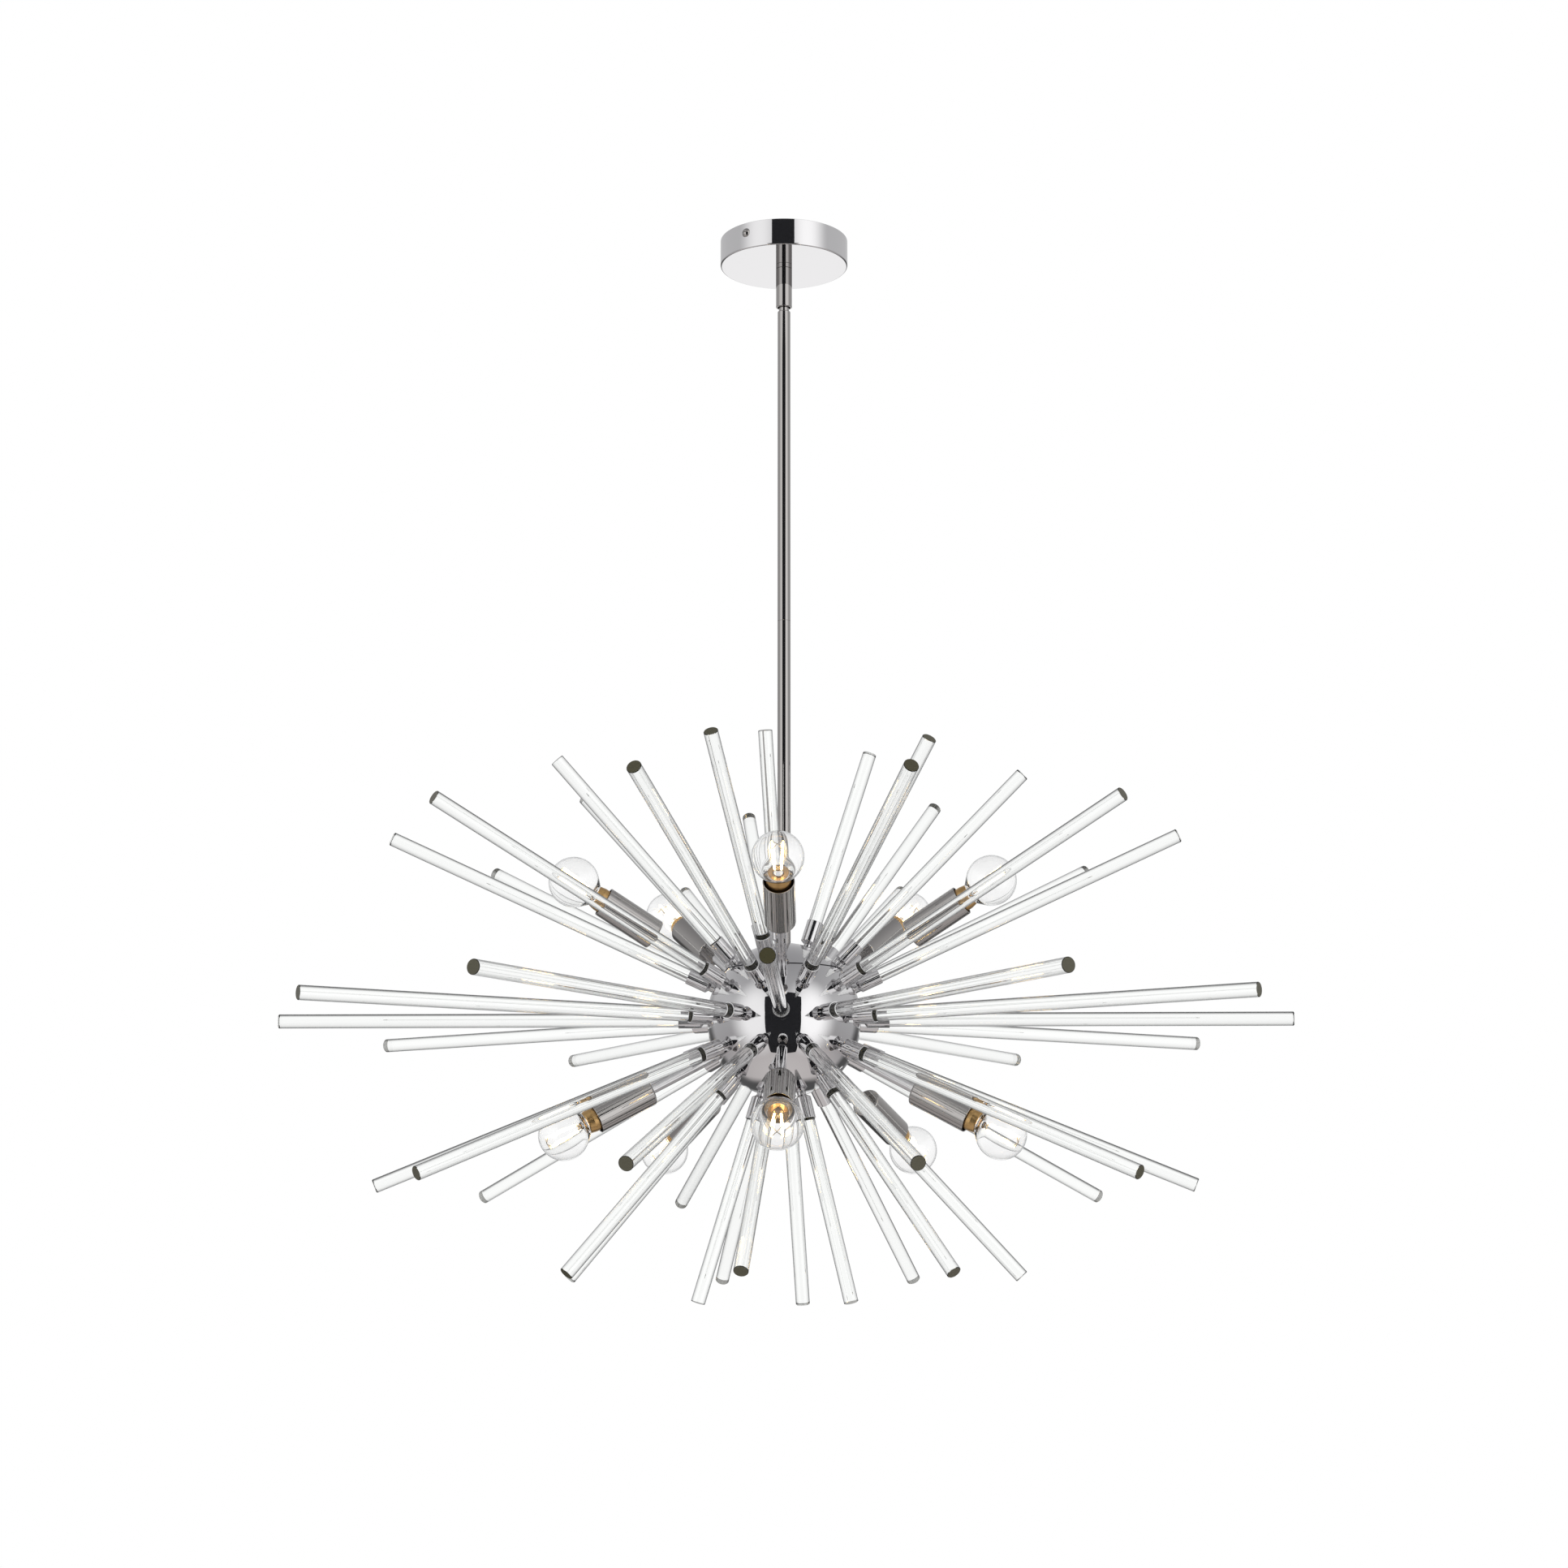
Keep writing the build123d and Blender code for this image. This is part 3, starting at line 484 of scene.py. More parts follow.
def rounded(*corners):
    """An outline through (radius, height, rounding) corners, with each rounding drawn as an arc."""
    outline = []
    for i, (radius, height, rounding) in enumerate(corners):
        corner = Vector((radius, height))
        if rounding == 0:
            outline.append(corner)
            continue
        back = (Vector(corners[i - 1][:2]) - corner).normalized()
        ahead = (Vector(corners[i + 1][:2]) - corner).normalized()
        half = back.angle(ahead) / 2
        centre = corner + (back + ahead).normalized() * rounding / math.sin(half)
        spoke = corner + back * rounding / math.tan(half) - centre
        sweep = math.copysign(math.pi - 2 * half, -back.cross(ahead))
        steps = math.ceil(abs(sweep) / ARC_STEP)
        for step in range(steps + 1):
            outline.append(centre + Matrix.Rotation(sweep * step / steps, 2) @ spoke)
    return outline


def arc(radius, centre_height, start, end):
    """Points of a circle about the axis at a height, from one angle to another, counted from level."""
    steps = math.ceil(abs(end - start) / CURVE_STEP)
    angles = [start + (end - start) * step / steps for step in range(steps + 1)]
    return [Vector((radius * math.cos(a), centre_height + radius * math.sin(a))) for a in angles]


# %% [markdown]
# ## Turning an outline into a piece
#
# Turning the outline about Z gives the piece, and the same outline can be turned at many places at once,
# which is how 52 ferrules become one mesh. A screw modifier turns an outline too, but only about one axis.
# The flat map that is laid on the piece on the way is in metres, around it and along it, so marks that run
# either way get their real spacing.

# %% Turning an outline into a piece
SEGMENTS = 48
SHARP_EDGE = math.radians(32)
WELD = 0.0005 * MM


def turn(shape, stretches, place, segments):
    """Turns an outline about Z into shape. Each stretch is the number of its finish and its points.
    An outline runs with the material on its left, so that every face looks out of it."""
    flat_map = shape.loops.layers.uv.verify()
    turns = [2 * math.pi * k / segments for k in range(segments + 1)]
    for finish_number, outline in stretches:
        widest = max(point.x for point in outline)
        rings = []
        for radius, height in outline:
            count = segments if radius > WELD else 1
            circle = [
                shape.verts.new(place @ Vector((radius * math.cos(a), radius * math.sin(a), height)))
                for a in turns[:count]
            ]
            rings.append([circle[k % count] for k in range(segments + 1)])
        travelled = 0.0
        for i in range(len(outline) - 1):
            onward = travelled + (outline[i + 1] - outline[i]).length
            for k in range(segments):
                corners = {
                    rings[i][k]: (turns[k], travelled),
                    rings[i][k + 1]: (turns[k + 1], travelled),
                    rings[i + 1][k + 1]: (turns[k + 1], onward),
                    rings[i + 1][k]: (turns[k], onward),
                }
                if len(corners) < 3:
                    continue
                face = shape.faces.new(corners)
                face.smooth = True
                face.material_index = finish_number
                for loop in face.loops:
                    angle, along = corners[loop.vert]
                    loop[flat_map].uv = (angle * widest, along)
            travelled = onward


def make_piece(name, turnings, finishes, segments=SEGMENTS):
    """One mesh from (stretches, place) turnings, welded, with even normals and its finishes."""
    shape = bmesh.new()
    for stretches, place in turnings:
        turn(shape, stretches, place, segments)
    bmesh.ops.remove_doubles(shape, verts=shape.verts, dist=WELD)
    mesh = bpy.data.meshes.new(name)
    shape.to_mesh(mesh)
    shape.free()
    mesh.set_sharp_from_angle(angle=SHARP_EDGE)
    for finish in finishes:
        mesh.materials.append(finish)
    piece = bpy.data.objects.new(name, mesh)
    scene.collection.objects.link(piece)
    piece.modifiers.new("even_shading", "WEIGHTED_NORMAL").keep_sharp = True
    return piece


def stand_for(piece, body, slot, *replaced):
    """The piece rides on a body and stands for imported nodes."""
    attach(piece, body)
    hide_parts(*replaced)
    print("piece:", piece.name, len(piece.data.polygons), "faces")


UPRIGHT = Matrix.Identity(4)

# %% [markdown]
# ## Canopy
#
# The canopy is a shallow cup spun from sheet, with a crisp but rounded lower edge. It is open towards the
# ceiling, so the inside is modelled too. Its wall is a mirror seen at a low angle, where facets would show
# first, so it has the most segments.

# %% Canopy
CANOPY_WALL = 1.2 * MM
CANOPY_EDGE = 1.4 * MM
CANOPY_SEGMENTS = 160
SPINDLE_HOLE = 4.9 * MM

canopy_low, canopy_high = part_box("canopy")
canopy_radius = canopy_high.x
canopy_inside = canopy_radius - CANOPY_WALL
canopy_floor = canopy_low.z
canopy_outline = rounded(
    (SPINDLE_HOLE, canopy_floor + CANOPY_WALL, 0),
    (SPINDLE_HOLE, canopy_floor, 0),
    (canopy_radius, canopy_floor, CANOPY_EDGE),
    (canopy_radius, 0, CANOPY_WALL / 4),
    (canopy_inside, 0, CANOPY_WALL / 4),
    (canopy_inside, canopy_floor + CANOPY_WALL, CANOPY_EDGE),
    (SPINDLE_HOLE, canopy_floor + CANOPY_WALL, 0),
)
canopy = make_piece("canopy_cup", [([(0, canopy_outline)], UPRIGHT)], [chrome], CANOPY_SEGMENTS)
stand_for(canopy, "ceiling_mount", "chrome", "canopy")

# %% [markdown]
# ## Swivel sleeve and stems
#
# The sleeve hangs under the canopy and hides the ball joint. The two stems below it are plain drawn tube,
# cut square and lightly broken at the ends, so the joint between them shows as one fine line.

# %% Swivel sleeve and stems
SLEEVE_BORE = 4.55 * MM
SLEEVE_CHAMBER = 6.3 * MM
SLEEVE_COLLAR = 14.0 * MM
SLEEVE_EDGE = 0.5 * MM
STEM_BORE = 4.9 * MM
STEM_TOP_EDGE = 0.8 * MM
STEM_SEAM_EDGE = 0.25 * MM
TUBE_SEGMENTS = 64


def tube_outline(bore, outside, low, high, low_edge, high_edge):
    return rounded(
        (bore, low, 0),
        (outside, low, low_edge),
        (outside, high, high_edge),
        (bore, high, 0),
        (bore, low, 0),
    )


sleeve_low, sleeve_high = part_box("swivel_sleeve")
sleeve_step = sleeve_high.z - SLEEVE_COLLAR
sleeve_outline = rounded(
    (SLEEVE_CHAMBER, sleeve_step, 0),
    (SLEEVE_CHAMBER, sleeve_low.z, 0),
    (sleeve_high.x, sleeve_low.z, SLEEVE_EDGE),
    (sleeve_high.x, sleeve_high.z, SLEEVE_EDGE / 2),
    (SLEEVE_BORE, sleeve_high.z, 0),
    (SLEEVE_BORE, sleeve_step, 0),
    (SLEEVE_CHAMBER, sleeve_step, 0),
)
sleeve = make_piece("turned_swivel_sleeve", [([(0, sleeve_outline)], UPRIGHT)], [shaded_chrome], TUBE_SEGMENTS)
stand_for(sleeve, "swivel", "chrome", "swivel_sleeve")

for name, top_edge in (("upper_stem", STEM_TOP_EDGE), ("lower_stem", STEM_SEAM_EDGE)):
    low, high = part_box(name)
    outline = tube_outline(STEM_BORE, high.x, low.z, high.z, STEM_SEAM_EDGE, top_edge)
    stem = make_piece(name + "_tube", [([(0, outline)], UPRIGHT)], [shaded_chrome], TUBE_SEGMENTS)
    stand_for(stem, "pendant", "chrome", name)

# %% [markdown]
# ## Hub
#
# The hub is a spun ball in two shells, a bowl and a lid. Each shell's edge is broken where it meets the
# other, so the seam is a fine groove, and its faces get a painted shade that shows as a dark line.

# %% Hub
HUB_WALL = 2.0 * MM
HUB_TOP_FLAT = 7.0 * MM
HUB_TOP_HOLE = 4.9 * MM
HUB_SEGMENTS = 144
SEAM_LATITUDE = math.radians(40.35)
SEAM_GROOVE = 1.6 * MM
SEAM_DEPTH = 1.0 * MM

hub_inside = HUB_RADIUS - HUB_WALL
at_hub = Matrix.Translation(hub_centre)
hub_top = math.sqrt(HUB_RADIUS**2 - HUB_TOP_FLAT**2)
seam_height = HUB_RADIUS * math.sin(SEAM_LATITUDE)
groove_foot = Vector((HUB_RADIUS * math.cos(SEAM_LATITUDE) - SEAM_DEPTH, seam_height))
groove_half = SEAM_GROOVE / 2 / HUB_RADIUS
seam_inside = math.asin(seam_height / hub_inside)
bowl_outside = arc(HUB_RADIUS, 0, -math.pi / 2, SEAM_LATITUDE - groove_half)
bowl_inside = arc(hub_inside, 0, seam_inside, -math.pi / 2)
lid_outside = arc(HUB_RADIUS, 0, SEAM_LATITUDE + groove_half, math.asin(hub_top / HUB_RADIUS))
lid_inside = arc(hub_inside, 0, math.acos(HUB_TOP_HOLE / hub_inside), seam_inside)
# Stretch 1 is the seam groove. It takes the second finish, the painted seam shade.
bowl_stretches = [
    (0, bowl_outside),
    (1, [bowl_outside[-1], groove_foot]),
    (0, [groove_foot, *bowl_inside]),
]
lid_stretches = [
    (1, [groove_foot, lid_outside[0]]),
    (0, [*lid_outside, Vector((HUB_TOP_HOLE, hub_top)), *lid_inside, groove_foot]),
]
for name, stretches in (("hub_bowl", bowl_stretches), ("hub_lid", lid_stretches)):
    shell = make_piece("spun_" + name, [(stretches, at_hub)], [chrome, seam_shade], HUB_SEGMENTS)
    stand_for(shell, "pendant", "chrome", name)

# %% [markdown]
# ## The rows of the burst
#
# The rods stand in rings around the hub: one ring on the equator, then two rings each in the middle, steep
# and polar rows, with shorter rods towards the poles. Azimuths are counted from the front towards +X,
# elevations from the equator upwards, and each place's own Z points out of the hub.

# %% The rows of the burst
EQUATOR_ROD_LENGTH = 380.0 * MM
MID_ROD_LENGTH = 318.0 * MM
STEEP_ROD_LENGTH = 234.0 * MM
POLAR_ROD_LENGTH = 186.0 * MM
UPPER_MID_ELEVATION = 25.0
LOWER_MID_ELEVATION = -22.0
UPPER_STEEP_ELEVATION = 45.7
LOWER_STEEP_ELEVATION = -47.0
UPPER_POLAR_ELEVATION = 71.5
LOWER_POLAR_ELEVATION = -72.5
UPPER_BULB_ELEVATION = 31.0
LOWER_BULB_ELEVATION = -28.0


def aim(azimuth, elevation):
    """A place at the hub's centre with its Z along one direction of the burst."""
    turned = math.radians(azimuth)
    lifted = math.radians(elevation)
    level = math.cos(lifted)
    outward = Vector((math.sin(turned) * level, -math.cos(turned) * level, math.sin(lifted)))
    return at_hub @ outward.to_track_quat("Z", "Y").to_matrix().to_4x4()


def ring(count, first_azimuth, elevation):
    return [aim(first_azimuth + 360 * i / count, elevation) for i in range(count)]


equator_ring = ring(count=12, first_azimuth=0, elevation=0)
upper_mid_ring = ring(count=10, first_azimuth=18, elevation=UPPER_MID_ELEVATION)
lower_mid_ring = ring(count=10, first_azimuth=18, elevation=LOWER_MID_ELEVATION)
upper_steep_ring = ring(count=7, first_azimuth=-15, elevation=UPPER_STEEP_ELEVATION)
lower_steep_ring = ring(count=7, first_azimuth=-8, elevation=LOWER_STEEP_ELEVATION)
upper_polar_ring = ring(count=3, first_azimuth=-10, elevation=UPPER_POLAR_ELEVATION)
lower_polar_ring = ring(count=3, first_azimuth=49, elevation=LOWER_POLAR_ELEVATION)
rod_rows = {
    "equator_rods": (EQUATOR_ROD_LENGTH, equator_ring),
    "mid_rods": (MID_ROD_LENGTH, upper_mid_ring + lower_mid_ring),
    "steep_rods": (STEEP_ROD_LENGTH, upper_steep_ring + lower_steep_ring),
    "polar_rods": (POLAR_ROD_LENGTH, upper_polar_ring + lower_polar_ring),
}
rod_places = [place for length, places in rod_rows.values() for place in places]
bulb_rows = {
    "upper": ring(count=5, first_azimuth=0, elevation=UPPER_BULB_ELEVATION),
    "lower": ring(count=5, first_azimuth=0, elevation=LOWER_BULB_ELEVATION),
}
bulb_places = bulb_rows["upper"] + bulb_rows["lower"]
print("burst:", len(rod_places), "rods and", len(bulb_places), "bulbs")

# %% [markdown]
# ## Glass rods
#
# Each rod is a solid bar, so light enters it once and leaves it once, and it works as a strong lens across
# its width. The edge of each end is arrised, a narrow polished chamfer that keeps it from chipping. The
# two end faces get the finish of the polished ends.

# %% Glass rods
ROD_RADIUS = 6.35 * MM
ROD_ARRIS = 0.45 * MM
FERRULE_LENGTH = 25.5 * MM
SOCKET_DEPTH = 18.0 * MM
ROD_GAP = 0.1 * MM

ferrule_mouth = HUB_RADIUS + FERRULE_LENGTH
rod_foot = ferrule_mouth - SOCKET_DEPTH + ROD_GAP
for name, (length, places) in rod_rows.items():
    rod_tip = rod_foot + length
    side = rounded(
        (ROD_RADIUS - ROD_ARRIS, rod_foot, 0),
        (ROD_RADIUS, rod_foot + ROD_ARRIS, ROD_ARRIS / 2),
        (ROD_RADIUS, rod_tip - ROD_ARRIS, ROD_ARRIS / 2),
        (ROD_RADIUS - ROD_ARRIS, rod_tip, 0),
    )
    foot = [Vector((0, rod_foot)), side[0]]
    tip = [side[-1], Vector((0, rod_tip))]
    stretches = [(1, foot), (0, side), (1, tip)]
    rods = make_piece("glass_" + name, [(stretches, place) for place in places], [rod_glass, rod_end])
    stand_for(rods, "pendant", "crystal", name)

# %% [markdown]
# ## Ferrules
#
# A ferrule is turned from bar: a narrow foot on the hub, a shoulder, and a socket for the rod. Its mouth
# has a small rounded lip. The cement that holds the rod lines the socket, and shows through the glass as a
# dark band.

# %% Ferrules
FERRULE_RADIUS = 7.5 * MM
FERRULE_FOOT_RADIUS = 4.0 * MM
FERRULE_FOOT_LENGTH = 3.0 * MM
FERRULE_FOOT_EDGE = 0.3 * MM
FERRULE_SHOULDER = 2.5 * MM
FERRULE_SHOULDER_EDGE = 0.8 * MM
FERRULE_LIP = 0.35 * MM
SOCKET_RADIUS = ROD_RADIUS + ROD_GAP
SOCKET_LIP_DEPTH = 1.2 * MM

foot_end = HUB_RADIUS + FERRULE_FOOT_LENGTH
ferrule_outside = rounded(
    (0, HUB_RADIUS, 0),
    (FERRULE_FOOT_RADIUS, HUB_RADIUS, 0),
    (FERRULE_FOOT_RADIUS, foot_end, FERRULE_FOOT_EDGE),
    (FERRULE_RADIUS, foot_end + FERRULE_SHOULDER, FERRULE_SHOULDER_EDGE),
    (FERRULE_RADIUS, ferrule_mouth, FERRULE_LIP),
    (SOCKET_RADIUS, ferrule_mouth, FERRULE_LIP),
    (SOCKET_RADIUS, ferrule_mouth - SOCKET_LIP_DEPTH, 0),
)
ferrule_socket = [
    ferrule_outside[-1],
    Vector((SOCKET_RADIUS, ferrule_mouth - SOCKET_DEPTH)),
    Vector((0, ferrule_mouth - SOCKET_DEPTH)),
]
ferrule_stretches = [(0, ferrule_outside), (1, ferrule_socket)]
ferrule_turnings = [(ferrule_stretches, place) for place in rod_places]
ferrules = make_piece("turned_rod_ferrules", ferrule_turnings, [chrome, cement])
stand_for(ferrules, "pendant", "chrome", "rod_ferrules")

# %% [markdown]
# ## Bulb arms and cups
#
# Ten slim tubes carry the cups. A cup is drawn from sheet with a flat back and a plain rim, and it hides
# the lampholder, so the light of the bulb only reaches its inner wall near the mouth.

# %% Bulb arms and cups
ARM_RADIUS = 4.75 * MM
ARM_BORE = 2.5 * MM
ARM_LENGTH = 70.5 * MM
ARM_EDGE = 0.3 * MM
CUP_RADIUS = 13.75 * MM
CUP_LENGTH = 55.5 * MM
CUP_WALL = 1.0 * MM
CUP_FLOOR = 2.0 * MM
CUP_SHOULDER = 2.0 * MM
CUP_LIP = 0.45 * MM
CUP_HOLE = 4.1 * MM

cup_back = HUB_RADIUS + ARM_LENGTH
cup_rim = cup_back + CUP_LENGTH
cup_inside = CUP_RADIUS - CUP_WALL
arm_outline = tube_outline(ARM_BORE, ARM_RADIUS, HUB_RADIUS, cup_back, ARM_EDGE, ARM_EDGE)
arms = make_piece("bulb_arm_tubes", [([(0, arm_outline)], place) for place in bulb_places], [chrome])
stand_for(arms, "pendant", "chrome", "bulb_arms")

cup_outline = rounded(
    (CUP_HOLE, cup_back + CUP_FLOOR, 0),
    (CUP_HOLE, cup_back, 0),
    (CUP_RADIUS, cup_back, CUP_SHOULDER),
    (CUP_RADIUS, cup_rim, CUP_LIP),
    (cup_inside, cup_rim, CUP_LIP),
    (cup_inside, cup_back + CUP_FLOOR, CUP_SHOULDER - CUP_WALL),
    (CUP_HOLE, cup_back + CUP_FLOOR, 0),
)
cup_turnings = [([(0, cup_outline)], place) for place in bulb_places]
cups = make_piece("drawn_socket_cups", cup_turnings, [shaded_chrome], TUBE_SEGMENTS)
stand_for(cups, "pendant", "chrome", "socket_cups")

# %% [markdown]
# ## Bulb globes
#
# Each bulb is a thin blown globe that runs into a short neck, sealed onto a brass base. Inside, a glass
# stem rises from the seal and carries the filament. The wall is modelled with both of its surfaces, because
# a globe with only one would bend the view like a solid ball.

# %% Globe outline
COLLAR_GAP = 0.3 * MM
COLLAR_LENGTH = 20.2 * MM
HOLDER_LENGTH = 43.0 * MM
GLOBE_RADIUS = 22.5 * MM
GLOBE_WALL = 0.6 * MM
NECK_RADIUS = 10.0 * MM
NECK_REACH = 21.8 * MM
SEAL_THICKNESS = 1.6 * MM
SEAL_FILLET = 1.0 * MM
STEM_RADIUS = 2.3 * MM
STEM_LENGTH = 6.0 * MM

collar_back = cup_back + CUP_FLOOR + HOLDER_LENGTH + COLLAR_GAP
collar_front = collar_back + COLLAR_LENGTH
globe_middle = collar_front + NECK_REACH
glass_stem_top = collar_front + STEM_LENGTH


def globe_start(neck, reach, globe):
    """The angle on a globe, counted from level, where a straight neck runs into it without a kink."""
    return math.atan2(-reach, neck) + math.acos(globe / math.hypot(neck, reach))


globe_inside = GLOBE_RADIUS - GLOBE_WALL
neck_inside = NECK_RADIUS - GLOBE_WALL
seal_top = collar_front + SEAL_THICKNESS
outer_start = globe_start(NECK_RADIUS, NECK_REACH, GLOBE_RADIUS)
inner_start = globe_start(neck_inside, NECK_REACH - SEAL_THICKNESS, globe_inside)
globe_outline = [
    Vector((0, collar_front)),
    Vector((NECK_RADIUS, collar_front)),
    *arc(GLOBE_RADIUS, globe_middle, outer_start, math.pi / 2),
]
globe_cavity = [
    *arc(globe_inside, globe_middle, math.pi / 2, inner_start),
    *rounded(
        (neck_inside, seal_top, 0),
        (STEM_RADIUS * 2, seal_top, SEAL_FILLET),
        (STEM_RADIUS, glass_stem_top, STEM_RADIUS / 2),
        (0, glass_stem_top, 0),
    ),
]
globe_stretches = [(0, globe_outline), (0, globe_cavity)]
print("globe: middle", round(globe_middle / MM, 1), "mm out of the hub's centre")

# %% [markdown]
# ## Brass base
#
# The base is one turned outline: a contact, a shell that goes into the lampholder, and a wider collar that
# draws in to the neck of the glass. Its front stays just behind the seal, so that no two faces lie in one
# plane.

# %% Base outline
SHELL_RADIUS = 5.85 * MM
SHELL_LENGTH = 12.2 * MM
SHELL_EDGE = 0.5 * MM
SHELL_FILLET = 0.3 * MM
CONTACT_RADIUS = 3.0 * MM
CONTACT_HEIGHT = 1.5 * MM
CONTACT_EDGE = 0.6 * MM
COLLAR_RADIUS = 10.8 * MM
COLLAR_EDGE = 1.2 * MM
COLLAR_TAPER = 6.0 * MM
COLLAR_TAPER_EDGE = 3.0 * MM
COLLAR_MOUTH_INSET = 0.3 * MM
COLLAR_MOUTH_DROP = 0.2 * MM

shell_back = collar_back - SHELL_LENGTH
collar_mouth = collar_front - COLLAR_MOUTH_DROP
base_outline = rounded(
    (0, shell_back - CONTACT_HEIGHT, 0),
    (CONTACT_RADIUS, shell_back - CONTACT_HEIGHT, CONTACT_EDGE),
    (SHELL_RADIUS, shell_back, SHELL_EDGE),
    (SHELL_RADIUS, collar_back, SHELL_FILLET),
    (COLLAR_RADIUS, collar_back, COLLAR_EDGE),
    (COLLAR_RADIUS, collar_front - COLLAR_TAPER, COLLAR_TAPER_EDGE),
    (NECK_RADIUS - COLLAR_MOUTH_INSET, collar_mouth, COLLAR_EDGE),
    (0, collar_mouth, 0),
)
print("base: collar from", round(collar_back / MM, 1), "to", round(collar_front / MM, 1), "mm out")

# %% [markdown]
# ## Filament sticks and wires
#
# Four sticks stand around the bulb's axis and lean outwards. Nickel wires lead to them from a small disc on
# the glass stem and join above them. Every one of these is a round-ended bar between two points, so one
# function makes them all.

# %% Filament outlines
STICK_COUNT = 4
FIRST_STICK_AZIMUTH = 45
STICK_RADIUS = 1.0 * MM
STICK_LENGTH = 28.0 * MM
STICK_FOOT_REACH = 4.0 * MM
STICK_HEAD_REACH = 6.5 * MM
LEAD_RADIUS = 0.35 * MM
DISC_RADIUS = 1.8 * MM
DISC_HEIGHT = 0.8 * MM
LEAD_RISE = 2.0 * MM
BAR_ROUNDING = 0.6
BAR_SEGMENTS = 16
STICK_FINISH = 0
WIRE_FINISH = 1


def bar(start, end, radius, finish_number):
    """A round-ended bar between two points, as a turning."""
    axis = end - start
    outline = rounded(
        (0, 0, 0),
        (radius, 0, radius * BAR_ROUNDING),
        (radius, axis.length, radius * BAR_ROUNDING),
        (0, axis.length, 0),
    )
    place = Matrix.Translation(start) @ axis.to_track_quat("Z", "Y").to_matrix().to_4x4()
    return [(finish_number, outline)], place


disc_top = glass_stem_top + DISC_HEIGHT
stick_foot = disc_top + LEAD_RISE
stick_head = stick_foot + STICK_LENGTH
lead_knot = Vector((0, 0, stick_head + LEAD_RISE))
disc_foot = Vector((0, 0, glass_stem_top))
disc_middle = Vector((0, 0, disc_top - DISC_HEIGHT / 2))
filament_turnings = [bar(disc_foot, Vector((0, 0, disc_top)), DISC_RADIUS, WIRE_FINISH)]
for i in range(STICK_COUNT):
    angle = math.radians(FIRST_STICK_AZIMUTH + 360 * i / STICK_COUNT)
    out = Vector((math.cos(angle), math.sin(angle), 0))
    foot = out * STICK_FOOT_REACH + Vector((0, 0, stick_foot))
    head = out * STICK_HEAD_REACH + Vector((0, 0, stick_head))
    filament_turnings.append(bar(disc_middle, foot, LEAD_RADIUS, WIRE_FINISH))
    filament_turnings.append(bar(foot, head, STICK_RADIUS, STICK_FINISH))
    filament_turnings.append(bar(head, lead_knot, LEAD_RADIUS, WIRE_FINISH))
print("filament:", len(filament_turnings), "bars")

# %% [markdown]
# ## Ten bulbs
#
# Every bulb screws out by itself, so each has its own body, and its globe, base and filament are pieces of
# their own that ride on it.

# %% Ten bulbs
for row, places in bulb_rows.items():
    for number, place in enumerate(places, start=1):
        body = f"{row}_bulb_{number}"
        globe = make_piece(body + "_globe", [(globe_stretches, place)], [globe_glass], TUBE_SEGMENTS)
        stand_for(globe, body, "bulb_glass", body + "_glass")
        base = make_piece(body + "_collar", [([(0, base_outline)], place)], [brass], TUBE_SEGMENTS)
        stand_for(base, body, "brass", body + "_base")
        bars = [(stretches, place @ within) for stretches, within in filament_turnings]
        sticks = make_piece(body + "_sticks", bars, [phosphor, nickel], BAR_SEGMENTS)
        stand_for(sticks, body, "filament", body + "_filament")

# %% [markdown]
# ## The room that chrome and glass show
#
# The background is plain white. Chrome has no look of its own, it shows the room, so the room matters: two
# large soft lights beside the camera, dark ground low behind the lamp with a small bright backdrop in it
# and a dark gap on each side, a grey ceiling and a slightly warmer floor. The ceiling and the floor are
# tones that change with height. The rest are soft round patches laid over them, each in one direction and
# drawn out upwards and downwards. Azimuths are counted from the camera's side towards +X, and a patch is
# full up to one angle from its middle and gone at another. What is seen through glass is a plain white room
# that dims towards the floor and a little towards the ceiling, which shades the two edges of each rod.

# %% Room tones and patches
UPRIGHT_STRETCH = 0.6
STUDIO_PATCHES = (
    {"azimuth": -44, "elevation": 0, "full": 10, "gone": 46, "light": 1.2},
    {"azimuth": 44, "elevation": 0, "full": 10, "gone": 46, "light": 1.4},
    {"azimuth": -148, "elevation": -15, "full": 6, "gone": 24, "light": 0.1},
    {"azimuth": 148, "elevation": -15, "full": 6, "gone": 24, "light": 0.1},
    {"azimuth": 180, "elevation": -45, "full": 22, "gone": 40, "light": 0.1},
    {"azimuth": 180, "elevation": -21, "full": 5, "gone": 13, "light": 1.18},
)
ROOM_TONES = (
    (0.0, "#dbd6d5"),
    (0.15, "#cdc8c7"),
    (0.31, "#aeacad"),
    (0.5, "#bababb"),
    (0.68, "#d0d0d1"),
    (1.0, "#a9a9ab"),
)
GLASS_TONES = (
    (0.0, "#5a5a5a"),
    (0.14, "#5a5a5a"),
    (0.31, "#ffffff"),
    (0.6, "#ffffff"),
    (0.85, "#e8e8e8"),
    (1.0, "#e8e8e8"),
)


def tones_by_height(tree, level, tones):
    """The tones of a room from straight down, at 0, to straight up, at 1."""
    room = add(tree, "ShaderNodeValToRGB", None, {"Fac": level})
    ramp = room.color_ramp.elements
    while len(ramp) < len(tones):
        ramp.new(1.0)
    for element, (position, code) in zip(ramp, tones):
        element.position = position
        element.color = colour(code)
    return room.outputs["Color"]


print("room:", len(ROOM_TONES), "tones and", len(STUDIO_PATCHES), "patches")

# %% [markdown]
# ## World
#
# The world holds all of this by direction. Lamps and boards could do it too, but they would light the floor
# and need many more samples. The path of the light decides what it meets: the camera itself sees white,
# light that has come through glass sees the plain room, and a reflection sees the patches.


